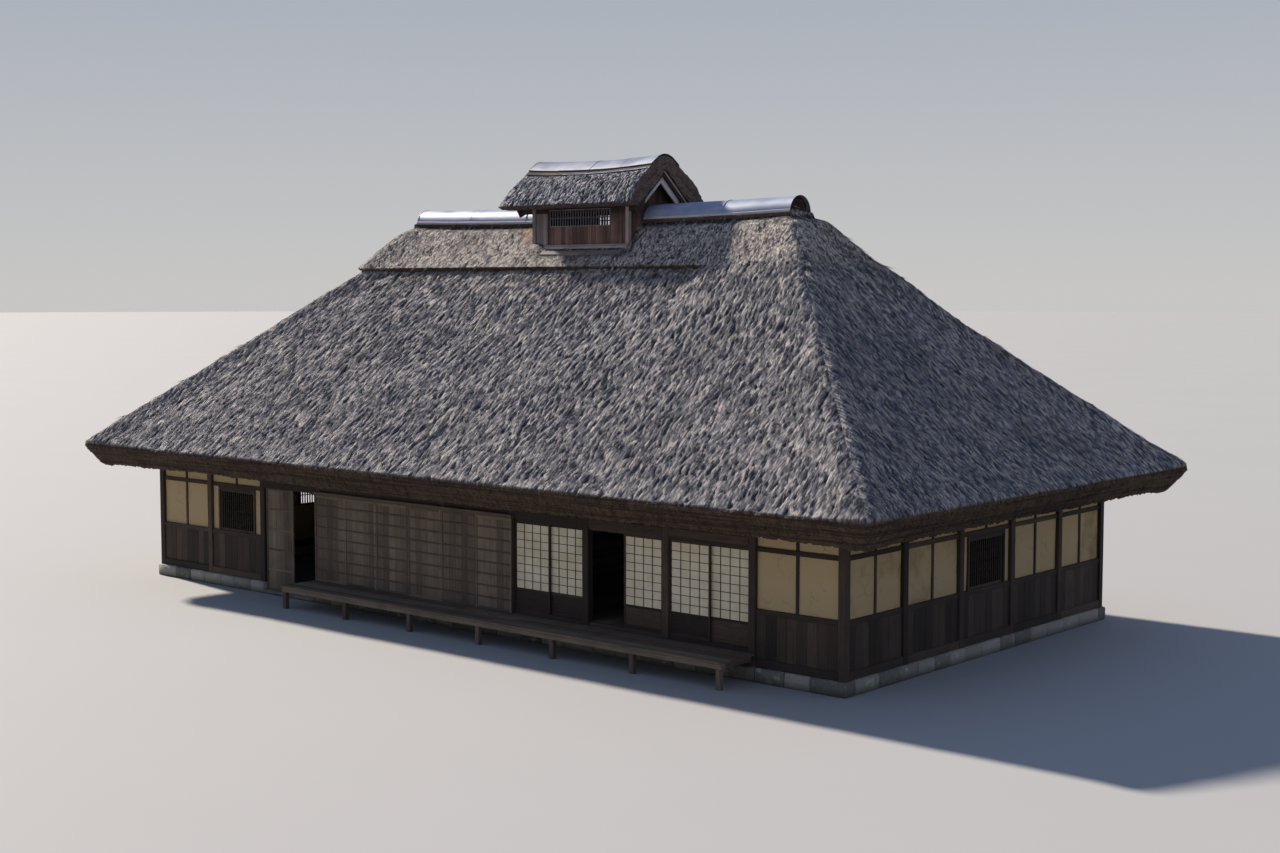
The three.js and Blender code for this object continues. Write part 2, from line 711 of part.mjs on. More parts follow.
function screens() {
  const paper = material("paper", 0.8);
  const inFrame = ([near, far]) => [-WALL_Y + near, -WALL_Y + far];
  const outer = inFrame(OUTER_GROOVE);
  const inner = inFrame(INNER_GROOVE);
  const cheek = 10;
  const rail = [outer[0] - cheek, inner[1] + cheek];
  const railThick = 60;
  const intoRail = 5;
  const leafZ = [FLOOR_TOP - intoRail, LINTEL_Z - railThick + intoRail];
  const lap = 30;
  for (const k of SCREEN_BAYS) {
    const [c0, c1] = clearBay(k);
    const x0 = c0 + GAP;
    const x1 = c1 - GAP;
    const middle = (x0 + x1) / 2;
    const opened = [middle - lap - 10, x1 - 6];
    const outerLeaf = k === OPEN_SCREEN_BAY ? opened : [x0, middle + lap];
    const pieces = [
      box(x0, x1, ...rail, SILL_TOP + GAP, FLOOR_TOP),
      box(x0, x1, ...rail, LINTEL_Z - railThick, LINTEL_Z - GAP),
      box(...outerLeaf, ...outer, ...leafZ),
      box(middle - lap, x1, ...inner, ...leafZ),
    ];
    add(`screen_bay_${k + 1}`, join(pieces), paper);
  }
}

// Floor boards on joists that rest on the footing, and on short stubs in between
function raisedFloor() {
  const x0 = bayLine(DOOR_BAY + 1) + HALF_POST + 5;
  const x1 = WALL_X - TIMBER - GAP;
  const y = WALL_Y - TIMBER - GAP;
  const under = FLOOR_TOP - FLOOR_THICK;
  const halfJoist = 60;
  const halfStub = 70;
  const stubLines = [-1450, 1450];
  const joists = 8;
  const pieces = [box(x0, x1, -y, y, under, FLOOR_TOP)];
  for (let i = 0; i < joists; i += 1) {
    const x = x0 + halfJoist + ((x1 - x0 - 2 * halfJoist) * i) / (joists - 1);
    const width = [x - halfJoist, x + halfJoist];
    pieces.push(box(...width, -y, y, FOUNDATION_TOP + GAP, under));
    if (x + halfJoist > WALL_X + FOUNDATION_OUT - FOUNDATION_WIDTH) continue;
    for (const at of stubLines) {
      pieces.push(box(...width, at - halfStub, at + halfStub, 0, FOUNDATION_TOP + GAP));
    }
  }
  add("raised_floor", join(pieces), material("boards"));
}

function veranda() {
  const x0 = bayLine(DOOR_BAY + 1) - HALF_POST;
  const x1 = bayLine(LAST_SCREEN_POST) + HALF_POST;
  const y0 = -WALL_Y - DECK_DEPTH;
  const under = DECK_TOP - DECK_THICK;
  const leg = 100;
  const legY = [y0 + 40, y0 + 40 + leg];
  const bearer = [under - leg, under];
  const houseEnd = -WALL_Y - FOUNDATION_OUT - 1;
  const pieces = [
    box(x0, x1, y0, -WALL_Y - GAP, under, DECK_TOP),
    box(x0, x1, ...legY, ...bearer),
  ];
  for (let k = DOOR_BAY + 1; k <= LAST_SCREEN_POST; k += 1) {
    const width = [bayLine(k) - leg / 2, bayLine(k) + leg / 2];
    pieces.push(box(...width, ...legY, 0, under));
    pieces.push(box(...width, legY[0], houseEnd, ...bearer));
  }
  add("veranda", join(pieces), material("boards"));
}

// Roof trusses: a tie beam across the plates and two sloping logs under the thatch
function trusses() {
  const log = material("timber");
  const thick = 180;
  const legDeep = 242;
  const tieDeep = 220;
  const clear = 0.5;
  const hipClear = 10;
  const end = WALL_Y - 5;
  const tieTop = PLATE_TOP + tieDeep;
  const apex = rafterZ(0) - clear;
  const foot = (apex - legDeep - tieTop) / RAFTER_SLOPE;
  const shape = [
    [-end, PLATE_TOP + GAP],
    [end, PLATE_TOP + GAP],
    [end, rafterZ(end) - clear],
    [0, apex],
    [-end, rafterZ(end) - clear],
  ];
  const triangle = [[-foot, tieTop], [0, apex - legDeep], [foot, tieTop]];
  const starts = [hipClear - HIP_X, VENT_X0, VENT_X1 - thick, HIP_X - hipClear - thick];
  starts.forEach((x0, i) => {
    add(`roof_truss_${i + 1}`, alongX(shape, x0, x0 + thick, 1, [triangle]), log);
  });
}

thatch();
ridgeCaps();
vent();
foundation();
frames();
walls();
windows();
entranceDoor();
rainShutters();
screens();
raisedFloor();
veranda();
trusses();

export default house;
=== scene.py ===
"""Minka farmhouse: thatch, sheet metal, timber, clay plaster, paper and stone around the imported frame."""

import functools
import math

import bpy
import numpy as np
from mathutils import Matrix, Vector


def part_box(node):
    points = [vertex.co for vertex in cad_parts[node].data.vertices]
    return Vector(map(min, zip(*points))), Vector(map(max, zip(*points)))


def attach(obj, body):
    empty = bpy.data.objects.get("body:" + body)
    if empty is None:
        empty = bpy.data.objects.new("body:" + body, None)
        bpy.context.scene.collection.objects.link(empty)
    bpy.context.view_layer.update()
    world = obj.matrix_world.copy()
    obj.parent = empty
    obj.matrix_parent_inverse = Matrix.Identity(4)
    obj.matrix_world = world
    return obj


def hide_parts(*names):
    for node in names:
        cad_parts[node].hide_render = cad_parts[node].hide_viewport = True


bl_info = {
    "name": "Minka Farmhouse",
    "version": (1, 0, 0),
    "blender": (4, 5, 0),
    "location": "3D View > Sidebar > Farmhouse",
    "description": "Thatch, sheet metal, timber, plaster and stone for a farmhouse frame",
    "category": "Object",
}

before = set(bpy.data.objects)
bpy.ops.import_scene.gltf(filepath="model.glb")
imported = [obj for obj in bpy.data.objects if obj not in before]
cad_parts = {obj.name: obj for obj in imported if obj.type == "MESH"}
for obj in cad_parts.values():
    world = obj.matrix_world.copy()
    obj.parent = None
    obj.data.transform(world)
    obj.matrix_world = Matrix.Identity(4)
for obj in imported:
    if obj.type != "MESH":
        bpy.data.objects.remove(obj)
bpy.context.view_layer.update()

# Sizes of the frame, in metres. Roof distances run outwards from the ridge line, and on the two hip
# ends outwards from the end of that line.
HIP_X = 4.967  # where the ridge line ends and the hips begin
CAP_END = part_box("ridge_cap_right")[1].x
CAP_HALF = CAP_END - HIP_X
CAP_HEM_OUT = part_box("ridge_cap_right")[1].y
CAP_SEAT_Z = 8.075
CAP_TOP_Z = 8.4
RIDGE_SAG = 0.08
SEAT_OUT = 0.365  # how far the bed under the cap reaches
LIP = (1.290, 7.060)  # the cut edge of the upper coat: its top, as (out, z), and its foot
LIP_FOOT = (1.204, 6.977)
LIP_END_X = 3.9  # the lip dies out into the lower coat here
JOINT_FOOT_OUT = 0.962  # where the two coats meet on the rafters
EAVE = (5.700, 3.075)  # the cut end of the thatch, from its top edge round to its foot
EAVE_NOSE = (5.712, 3.005)
EAVE_TURN = (5.660, 2.915)
EAVE_FOOT_OUT = 5.420
LOWER_FALL = (LIP_FOOT[1] - EAVE[1]) / (EAVE[0] - LIP_FOOT[0])
RAFTER_SLOPE = 0.9
PLATE_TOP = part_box("front_plate")[1].z
PLATE_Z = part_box("front_plate")[0].z
WALL_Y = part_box("rear_plate")[1].y
WALL_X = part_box("front_plate")[1].x

# The smoke vent
VENT_X0, VENT_X1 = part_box("vent_frame")[0].x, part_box("vent_frame")[1].x
VENT_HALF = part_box("vent_frame")[1].y
VENT_ROOF_X0, VENT_ROOF_X1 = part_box("vent_ridge_cap")[0].x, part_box("vent_ridge_cap")[1].x
VENT_APEX_Z = 9.040  # underside of the vent's thatch at its ridge, and how far out it ends
VENT_UNDER_OUT = 0.880
VENT_FOOT_SUNK = 0.055  # the thatch is worn down round the foot of the vent
VENT_WINDOW_X = (-0.640, 1.070)
VENT_WINDOW_Z = (7.895, 8.255)
VENT_HEAD_Z = 8.180
VENT_HEAD_TOP = 8.270
VENT_FALL = (VENT_APEX_Z - VENT_HEAD_TOP) / VENT_UNDER_OUT
VENT_PLATE_TOP = VENT_APEX_Z - VENT_FALL * VENT_HALF
VENT_SAG = 0.06
VENT_EAVE = [(0.517, 9.050), (0.720, 8.890), (0.950, 8.670), (1.110, 8.480), (1.205, 8.350)]

NOISE_TABLE = 512


def rafter_z(out):
    """Height of the underside of the thatch at a distance from the ridge."""
    return PLATE_TOP + RAFTER_SLOPE * (WALL_Y - out)


# Numbers and noise


def smooth(x):
    """A step from 0 to 1 with soft ends."""
    x = np.clip(x, 0.0, 1.0)
    return x * x * (3.0 - 2.0 * x)


def value_noise(u, v, seed):
    """Smooth noise from -1 to 1 over a plane, with about one bump to a unit."""
    table = np.random.default_rng(seed).uniform(-1.0, 1.0, (NOISE_TABLE, NOISE_TABLE))
    u, v = np.broadcast_arrays(np.asarray(u, float), np.asarray(v, float))
    cell_u, cell_v = np.floor(u).astype(int), np.floor(v).astype(int)
    mix_u, mix_v = smooth(u - cell_u), smooth(v - cell_v)
    u0, u1 = cell_u % NOISE_TABLE, (cell_u + 1) % NOISE_TABLE
    v0, v1 = cell_v % NOISE_TABLE, (cell_v + 1) % NOISE_TABLE
    low = table[u0, v0] * (1 - mix_u) + table[u1, v0] * mix_u
    high = table[u0, v1] * (1 - mix_u) + table[u1, v1] * mix_u
    return low * (1 - mix_v) + high * mix_v


def straw_clumps(u, v, width, length, seed):
    """Height and tone, each 0 to 1, of overlapping straw tips that lie down the slope (along v)."""
    draw = np.random.default_rng(seed).uniform(0.0, 1.0, (5, NOISE_TABLE, NOISE_TABLE))
    height = np.zeros(np.shape(u))
    tone = np.full(np.shape(u), 0.3)
    cell_u = np.floor(u / width).astype(int)
    cell_v = np.floor(v / length).astype(int)
    for step_u in (-1, 0, 1):
        for step_v in (-1, 0, 1):
            at_u, at_v = (cell_u + step_u) % NOISE_TABLE, (cell_v + step_v) % NOISE_TABLE
            shift_u, shift_v, turn, lift, shade = (layer[at_u, at_v] for layer in draw)
            off_u = u - (cell_u + step_u + shift_u) * width
            off_v = v - (cell_v + step_v + shift_v) * length
            lean = (turn - 0.5) * 0.7
            along = (off_v + lean * off_u) / (0.95 * length)
            across = (off_u - lean * off_v) / (0.62 * width)
            body = np.sqrt(np.clip(1.0 - across * across, 0.0, 1.0))
            rise = 0.30 + 0.42 * smooth((along + 1.0) / 1.7) + 0.28 * lift
            tip = smooth((0.78 - along + 0.25 * (body - 1.0)) / 0.12) * smooth((along + 1.0) / 0.3)
            here = body * rise * tip
            higher = here > height
            height = np.where(higher, here, height)
            tone = np.where(higher, shade, tone)
    return height, tone


# Meshes


class Stock:
    """Points, faces, UVs and tones gathered for one piece before its mesh is made.

    A tone is four numbers from 0 to 1: the shade of a board or a straw, its relief (low where it lies deep
    or is worn), whether it is a cut end, and how fresh it is. draw is the source of chance for tones and
    warps: seed is a number, or the source of another piece to share."""

    def __init__(self, seed=0):
        self.draw = np.random.default_rng(seed)
        self.points, self.tones = [], []
        self.corners, self.uvs, self.sizes = [], [], []
        self.count = 0

    def add(self, points, faces, uvs, tones):
        """faces is an array (faces, corners) and uvs an array (faces, corners, 2) in metres."""
        points = np.asarray(points, float).reshape(-1, 3)
        tones = np.broadcast_to(np.asarray(tones, float), (len(points), 4))
        self.points.append(points)
        self.tones.append(tones)
        self.add_faces(faces, uvs, self.count)
        self.count += len(points)

    def add_faces(self, faces, uvs, start):
        """More faces over points that are already in; start is the number of the first of them."""
        faces = np.asarray(faces, int)
        self.corners.append((faces + start).ravel())
        self.uvs.append(np.asarray(uvs, float).reshape(-1, 2))
        self.sizes.append(np.full(len(faces), faces.shape[1]))

    def piece(self, name, finish, sharp=None):
        """One object at the origin, in a material or the finish of that name. Edges turned by more than
        sharp degrees stay crisp."""
        corners, sizes = np.concatenate(self.corners), np.concatenate(self.sizes)
        points, uvs, tones = (np.concatenate(a) for a in (self.points, self.uvs, self.tones))
        mesh = bpy.data.meshes.new(name)
        mesh.vertices.add(len(points))
        mesh.vertices.foreach_set("co", points.astype(np.float32).ravel())
        mesh.loops.add(len(corners))
        mesh.loops.foreach_set("vertex_index", corners.astype(np.int32))
        mesh.polygons.add(len(sizes))
        starts = np.concatenate([[0], np.cumsum(sizes)[:-1]])
        mesh.polygons.foreach_set("loop_start", starts.astype(np.int32))
        mesh.update(calc_edges=True)
        mesh.uv_layers.new(name="UVMap").uv.foreach_set("vector", uvs.astype(np.float32).ravel())
        tone = mesh.color_attributes.new("tone", "FLOAT_COLOR", "POINT")
        tone.data.foreach_set("color", tones.astype(np.float32).ravel())
        mesh.polygons.foreach_set("use_smooth", np.full(len(sizes), sharp is not None))
        if sharp is not None:
            mesh.set_sharp_from_angle(angle=math.radians(sharp))
        mesh.materials.append(FINISHES[finish] if isinstance(finish, str) else finish)
        made = bpy.data.objects.new(name, mesh)
        bpy.context.scene.collection.objects.link(made)
        return made


def wear(piece, slot, *nodes):
    """The piece moves with the house and stands for the frame's nodes, which it hides. slot is not used."""
    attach(piece, "root")
    if nodes:
        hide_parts(*nodes)
    return piece


def made_plain(piece, used):
    """Turns the piece's modifiers into its plain mesh, and removes the object that they read."""
    graph = bpy.context.evaluated_depsgraph_get()
    mesh = bpy.data.meshes.new_from_object(piece.evaluated_get(graph))
    piece.modifiers.clear()
    old = [piece.data, used.data]
    piece.data = mesh
    bpy.data.objects.remove(used)
    for spent in old:
        bpy.data.meshes.remove(spent)


def turned(points, quarter):
    """Points of the front carried round to another side: 0 front, 1 right, 2 rear, 3 left."""
    c, s = [(1, 0), (0, 1), (-1, 0), (0, -1)][quarter]
    x, y, z = (points[..., axis] for axis in range(3))
    return np.stack([c * x - s * y, s * x + c * y, z], axis=-1)


def on_side(outline, side):
    """An outline of (y, z) drawn on the +y side, put on that side or on the -y one, still anticlockwise."""
    return outline if side > 0 else [(-y, z) for y, z in outline[::-1]]


def line_normals(line):
    """Outward normals of a line of (y, z) that runs from +y over the ridge to -y."""
    tangent = np.gradient(line, axis=0)
    normal = np.stack([tangent[:, 1], -tangent[:, 0]], axis=1)
    return normal / np.linalg.norm(normal, axis=1, keepdims=True)


def grid_faces(rows, columns, wrap):
    """Quads over a grid of points; with wrap the last row joins the first."""
    row = np.arange(rows if wrap else rows - 1)[:, None]
    column = np.arange(columns - 1)[None, :]
    after = (row + 1) % rows
    a = row * columns + column
    b = row * columns + column + 1
    c = after * columns + column + 1
    d = after * columns + column
    return np.stack([a, b, c, d], axis=-1).reshape(-1, 4)


def corner_uvs(faces, u, v):
    """The UV of each corner of the faces, from u and v at each point."""
    return np.stack([u.ravel()[faces], v.ravel()[faces]], axis=-1)


ACROSS = [(1, 2), (2, 0), (0, 1)]  # the two axes across x, y and z


def box_rings(low, high, grain, ease, stations):
    """Cross-sections of a board with eased long edges, one ring of eight points for each station."""
    a, b = ACROSS[grain]
    (a0, a1), (b0, b1) = (low[a], high[a]), (low[b], high[b])
    c = min(ease, 0.45 * (a1 - a0), 0.45 * (b1 - b0))
    ring = [(a0 + c, b0), (a1 - c, b0), (a1, b0 + c), (a1, b1 - c),
            (a1 - c, b1), (a0 + c, b1), (a0, b1 - c), (a0, b0 + c)]
    rings = np.zeros((stations, 8, 3))
    rings[:, :, a] = [p[0] for p in ring]
    rings[:, :, b] = [p[1] for p in ring]
    rings[:, :, grain] = np.linspace(low[grain], high[grain], stations)[:, None]
    return rings


def loft(stock, rings, tone, grain_start=0.0):
    """A closed solid through rings of points that run anticlockwise seen from the far end."""
    stations, around = rings.shape[:2]
    closed = np.concatenate([rings, rings[:, :1]], axis=1)
    girth = np.concatenate([[0], np.cumsum(np.linalg.norm(np.diff(closed[0], axis=0), axis=1))])
    middles = rings.mean(axis=1)
    length = np.concatenate([[0], np.cumsum(np.linalg.norm(np.diff(middles, axis=0), axis=1))])
    k, i = np.meshgrid(np.arange(stations - 1), np.arange(around), indexing="ij")
    after = (i + 1) % around
    faces = np.stack([k * around + i, k * around + after, (k + 1) * around + after,
                      (k + 1) * around + i], axis=-1).reshape(-1, 4)
    u = grain_start + length
    uvs = np.stack([
        np.stack([u[k], girth[i]], axis=-1), np.stack([u[k], girth[i + 1]], axis=-1),
        np.stack([u[k + 1], girth[i + 1]], axis=-1), np.stack([u[k + 1], girth[i]], axis=-1),
    ], axis=-2).reshape(-1, 4, 2)
    start = stock.count
    stock.add(rings, faces, uvs, tone if np.ndim(tone) else (tone, 1.0, 0.0, 0.0))
    turn = np.linspace(0, 6, around)
    spot = grain_start + 0.02 * np.stack([np.cos(turn), np.sin(turn)], axis=-1)
    last = (stations - 1) * around + np.arange(around)
    stock.add_faces(last[None, :], spot[None], start)
    stock.add_faces(np.arange(around)[::-1][None, :], spot[None], start)


def board(stock, low, high, grain, ease=0.004, warp=0.0, step=0.6):
    """A sawn board or post between two corners, with its fibres along axis grain."""
    length = high[grain] - low[grain]
    stations = max(2, int(round(length / step)) + 1)
    rings = box_rings(low, high, grain, ease, stations)
    if warp:
        sway = stock.draw.uniform(-warp, warp, (stations, 1, 3))
        sway[:, :, grain] = 0.0
        rings = rings + sway
    loft(stock, rings, stock.draw.uniform(0.0, 1.0), stock.draw.uniform(0.0, 40.0))


def prism(stock, outline, axis, start, end, grain):
    """An outline of points run along an axis (0, 1 or 2); grain is the direction of its fibres."""
    outline = np.asarray(outline, float)
    a, b = ACROSS[axis]
    rings = np.zeros((2, len(outline), 3))
    rings[:, :, a], rings[:, :, b] = outline[:, 0], outline[:, 1]
    rings[0, :, axis], rings[1, :, axis] = start, end
    stock_start = stock.count
    loft(stock, rings, stock.draw.uniform(0.0, 1.0))
    fibre = np.array(grain, float)
    fibre /= np.linalg.norm(fibre)
    side = np.cross(fibre, np.eye(3)[axis])
    if np.linalg.norm(side) < 0.1:
        side = np.eye(3)[a]
    shift = stock.draw.uniform(0.0, 40.0)
    flat = rings.reshape(-1, 3)
    u, v = flat @ fibre + shift, flat @ side
    for index in (-3, -2, -1):
        corners = stock.corners[index] - stock_start
        stock.uvs[index] = np.stack([u[corners], v[corners]], axis=-1)


# Materials


def linear(hex_colour):
    """An sRGB hex colour as a linear RGBA."""
    parts = [int(hex_colour[i:i + 2], 16) / 255.0 for i in (1, 3, 5)]
    return [c / 12.92 if c <= 0.04045 else ((c + 0.055) / 1.055) ** 2.4 for c in parts] + [1.0]


def add_node(tree, kind, inputs=None, stops=(), **settings):
    """A node with its settings. An input that is given a node or a socket is linked, any other is set.
    stops are the positions and hex colours of a colour ramp."""
    made = tree.nodes.new(kind)
    for name, value in settings.items():
        setattr(made, name, value)
    for name, value in (inputs or {}).items():
        if isinstance(value, bpy.types.Node):
            value = next(socket for socket in value.outputs if socket.enabled)
        if isinstance(value, bpy.types.NodeSocket):
            tree.links.new(value, made.inputs[name])
        else:
            made.inputs[name].default_value = value
    for i, (position, colour) in enumerate(stops):
        elements = made.color_ramp.elements
        element = elements[i] if i < 2 else elements.new(position)
        element.position, element.color = position, linear(colour)
    return made


def streaks(add, place, size, detail=3.0, roughness=0.55, distortion=0.0):
    """Noise drawn out to streaks or blots of a size in metres, the same all ways or one for each axis."""
    scaled = add("ShaderNodeMapping", {"Vector": place, "Scale": [1 / s for s in np.broadcast_to(size, 3)]})
    return add("ShaderNodeTexNoise", {"Vector": scaled, "Scale": 1.0, "Detail": detail,
                                      "Roughness": roughness, "Distortion": distortion})


def weighted(add, *parts):
    """The sum of patterns, each with its weight."""
    total = 0.0
    for pattern, weight in parts:
        total = add("ShaderNodeMath", {0: pattern, 1: weight, 2: total}, operation="MULTIPLY_ADD")
    return total


def layered(add, colour, *layers):
    """Colours laid over each other. A layer is its cover, 0 to 1, and its hex colour; or a pattern, its low
    and its high value, the cover at each, and the colour."""
    for cover, *span, over in layers:
        if span:
            cover = add("ShaderNodeMapRange", {0: cover, **dict(enumerate(span, 1))})
        colour = add("ShaderNodeMix", {0: cover, 6: colour, 7: linear(over)}, data_type="RGBA")
    return colour


class Finish:
    """A material under way: its shader, and the places and tones that its patterns read."""

    def __init__(self, name, rough, shine=0.3):
        self.material = bpy.data.materials.new(name)
        self.material.use_nodes = True
        tree = self.material.node_tree
        tree.nodes.clear()
        self.add = functools.partial(add_node, tree)
        self.shader = self.add("ShaderNodeBsdfPrincipled",
                               {"Roughness": rough, "Specular IOR Level": shine})
        self.add("ShaderNodeOutputMaterial", {"Surface": self.shader})
        self.uv = self.add("ShaderNodeUVMap", uv_map="UVMap")
        self.place = self.add("ShaderNodeTexCoord").outputs["Object"]
        tones = self.add("ShaderNodeAttribute", attribute_name="tone")
        self.tone, self.relief, self.cut = self.add("ShaderNodeSeparateColor", {0: tones}).outputs[:3]
        self.fresh = tones.outputs["Alpha"]

    def coat(self, colour, height, depth, strength=0.8, **varied):
        """Gives the shader its colour, a bump of a depth in metres, and what else varies."""
        bump = self.add("ShaderNodeBump", {"Height": height, "Distance": depth, "Strength": strength})
        links = self.material.node_tree.links
        for name, node in {"Base Color": colour, "Normal": bump, **varied}.items():
            links.new(next(socket for socket in node.outputs if socket.enabled), self.shader.inputs[name])
        return self.material


STALK_END = 0.018  # cut stalks are 5 mm across, and are drawn 18 mm so that they show


def reed_thatch(name, dark, grey, pale, straw, butt_colours, bedded=0.65):
    """Weathered reed, combed down the slope: grey stalks with pale tips, a little lighter where they stand
    high (a painted highlight), near black where tips overlap and the relief is low (painted shade in the
    gaps), round brown ends where it is cut, darkened where their relief is low (painted shade), orange
    where it is new. Bundles are drawn 22 mm wide on the combed upper coat and 36 mm on the ruffled lower
    one, where a stalk is 5, so that they show."""
    finish = Finish(name, 0.88, 0.2)
    add, uv, place = finish.add, finish.uv, finish.place
    run = add("ShaderNodeSeparateXYZ", {0: uv}).outputs["Y"]
    ruffled = add("ShaderNodeMapRange", {0: run, 1: 1.6, 2: 2.8})
    bundles = add("ShaderNodeMix", {0: ruffled, 2: streaks(add, uv, (0.022, 0.070, 1.0), 2.0, 0.6),
                                    3: streaks(add, uv, (0.036, 0.24, 1.0), 2.0, 0.6)})
    stalks = streaks(add, uv, (0.014, 0.120, 1.0), 6.0, 0.8)
    mottle = streaks(add, place, 0.14, 3.0)
    weather = streaks(add, place, 1.5, 4.0, 0.6)
    # The relief lifts raised tips a little towards pale: a painted highlight.
    lie = weighted(add, (bundles, 0.80), (stalks, 0.65), (finish.tone, 0.20), (mottle, 0.25),
                   (finish.relief, 0.16))
    reed = add("ShaderNodeValToRGB", {0: add("ShaderNodeMapRange", {0: lie, 1: 0.91, 2: 1.18})},
               stops=[(0.0, dark), (0.40, grey), (0.72, pale), (1.0, straw)])
    # The relief layer paints near black where the straw lies deep: painted shade between tips, in the
    # groove under the ridge cap's hem and round the vent's foot.
    reed = layered(add, reed, (weather, 0.46, 0.68, 0.0, 0.35, dark),
                   (run, 1.6, 2.8, 0.0, 0.30, "#636b7c"),
                   (finish.relief, 0.04, 0.50, 0.92, 0.0, "#111013"),
                   (finish.fresh, "#9a7453"))
    ends = add("ShaderNodeTexVoronoi", {"Vector": place, "Scale": 1 / STALK_END})
    beds = streaks(add, place, (3.0, 3.0, 0.045), 2.0)
    butts = add("ShaderNodeValToRGB",
                {0: weighted(add, (ends, 0.75), (finish.tone, -0.20), (mottle, 0.35))},
                stops=list(zip((0.10, 0.42, 0.75), butt_colours)))
    # Cut ends of low relief go near black: painted shade on the vent's soffit and inside the ridge cap's
    # ends.
    butts = layered(add, butts, (beds, 0.46, 0.60, 0.0, bedded, "#2a2220"),
                    (finish.relief, 0.2, 0.7, 0.75, 0.0, "#171312"))
    colour = add("ShaderNodeMix", {0: finish.cut, 6: reed, 7: butts}, data_type="RGBA")
    grain = weighted(add, (bundles, 0.9), (stalks, 0.7))
    height = add("ShaderNodeMix", {0: finish.cut, 2: grain, 3: weighted(add, (ends, -0.8), (beds, 0.6))})
    return finish.coat(colour, height, 0.040, 1.0)


def painted_sheet(name, paint, chalk, rust, rough, metal=0.12):
    """Roll-coated sheet steel: satin paint chalked in rain streaks, and brown where it has worn through."""
    finish = Finish(name, rough, 0.5)
    add = finish.add
    rain = streaks(add, finish.uv, (0.7, 0.06, 1.0), 4.0, 0.6)
    clouds = streaks(add, finish.place, 0.6, 4.0)
    specks = streaks(add, finish.place, 0.02, 2.0, 0.6)
    edge = weighted(add, (finish.relief, -1.0), (specks, 0.6))
    eaten = add("ShaderNodeMapRange", {0: edge, 1: -0.40, 2: -0.12})
    chalked = weighted(add, (rain, 0.6), (clouds, 0.7), (finish.tone, 0.12))
    chalked = add("ShaderNodeMapRange", {0: chalked, 1: 0.60, 2: 0.86})
    colour = layered(add, linear(paint), (chalked, chalk), (eaten, rust))
    matt = add("ShaderNodeMapRange", {0: clouds, 1: 0.3, 2: 0.7, 3: rough - 0.06, 4: rough + 0.10})
    bright = add("ShaderNodeMapRange", {0: eaten, 3: metal, 4: 0.0})
    ripple = streaks(add, finish.uv, (0.45, 0.30, 1.0), 1.0, 0.4)
    return finish.coat(colour, weighted(add, (ripple, 1.0), (specks, 0.05)), 0.004, 0.5,
                       Roughness=matt, Metallic=bright)


def timber(name, dark, mid, pale, ring_width=0.011, stained=0.35, eave_shade=()):
    """Sawn softwood: fibres along the board, darker late wood, fine checks, and stains from rain. The last
    argument gives the heights in metres between which it is painted near black: painted shade under an
    eave."""
    finish = Finish(name, 0.78)
    add, uv = finish.add, finish.uv
    wander = streaks(add, uv, (0.9, 0.12, 1.0), 2.0, 0.5)
    bent = add("ShaderNodeVectorMath", {0: uv, 1: weighted(add, (wander, 0.05))})
    fibres = streaks(add, uv, (0.35, 0.004, 1.0), 3.0, 0.65)
    rings = streaks(add, bent, (1.4, ring_width, 1.0), 2.0, 0.5, 0.6)
    checks = streaks(add, uv, (0.5, 0.010, 1.0), 1.0, 0.5)
    checks = add("ShaderNodeMapRange", {0: checks, 1: 0.28, 2: 0.34, 3: 1.0, 4: 0.0})
    stain = streaks(add, finish.place, 0.6, 3.0, 0.6)
    mix = weighted(add, (fibres, 0.45), (rings, 0.40), (finish.tone, 0.32))
    colour = add("ShaderNodeValToRGB", {0: add("ShaderNodeMapRange", {0: mix, 1: 0.30, 2: 0.88})},
                 stops=[(0.0, dark), (0.5, mid), (1.0, pale)])
    colour = layered(add, colour, (stain, 0.42, 0.70, 0.0, stained, dark),
                     (weighted(add, (checks, 0.65)), "#0d0a08"))
    if eave_shade:
        # Painted shade: near black up under the eave, between the given heights.
        rise = add("ShaderNodeSeparateXYZ", {0: finish.place}).outputs["Z"]
        smoke = weighted(add, (rise, 1.0), (stain, 0.12))
        colour = layered(add, colour, (smoke, *eave_shade, 0.0, 0.8, "#15110f"))
    return finish.coat(colour, weighted(add, (fibres, 0.5), (checks, -1.0)), 0.0025)


def clay_plaster():
    """Clay with chopped straw: matt ochre, hairline cracks, flecks of straw, splashed towards the foot."""
    finish = Finish("clay_plaster", 0.95, 0.2)
    add, place = finish.add, finish.place
    cloud = streaks(add, place, 0.9, 5.0, 0.6)
    grit = streaks(add, place, 0.012, 3.0, 0.7)
    flecks = add("ShaderNodeTexVoronoi", {
        "Vector": add("ShaderNodeMapping", {"Vector": place, "Scale": (20.0, 20.0, 50.0)}), "Scale": 1.0})
    bend = add("ShaderNodeTexNoise", {"Vector": place, "Scale": 1 / 0.16, "Detail": 3.0})
    bent = add("ShaderNodeVectorMath", {0: bend.outputs["Color"], 1: (0.22, 0.22, 0.22), 2: place},
               operation="MULTIPLY_ADD")
    cells = add("ShaderNodeTexVoronoi", {"Vector": bent, "Scale": 1 / 0.42}, feature="DISTANCE_TO_EDGE")
    part = add("ShaderNodeMapRange", {0: streaks(add, place, 0.5, 2.0), 1: 0.50, 2: 0.60})
    crack = add("ShaderNodeMapRange", {0: cells, 1: 0.004, 2: 0.010, 3: 1.0, 4: 0.0})
    crack = add("ShaderNodeMath", {0: crack, 1: part}, operation="MULTIPLY")
    colour = add("ShaderNodeValToRGB", {0: weighted(add, (cloud, 1.6), (grit, 0.5), (finish.tone, 0.3))},
                 stops=[(0.75, "#8b7759"), (1.0, "#b09b76")])
    colour = layered(add, colour, (flecks, 0.10, 0.16, 0.6, 0.0, "#d0c196"),
                     (add("ShaderNodeSeparateXYZ", {0: place}).outputs[2], 0.5, 1.7, 0.35, 0.0, "#6d5c45"),
                     (weighted(add, (crack, 0.55)), "#3f3426"))
    return finish.coat(colour, weighted(add, (grit, 1.0), (crack, -1.0)), 0.003)


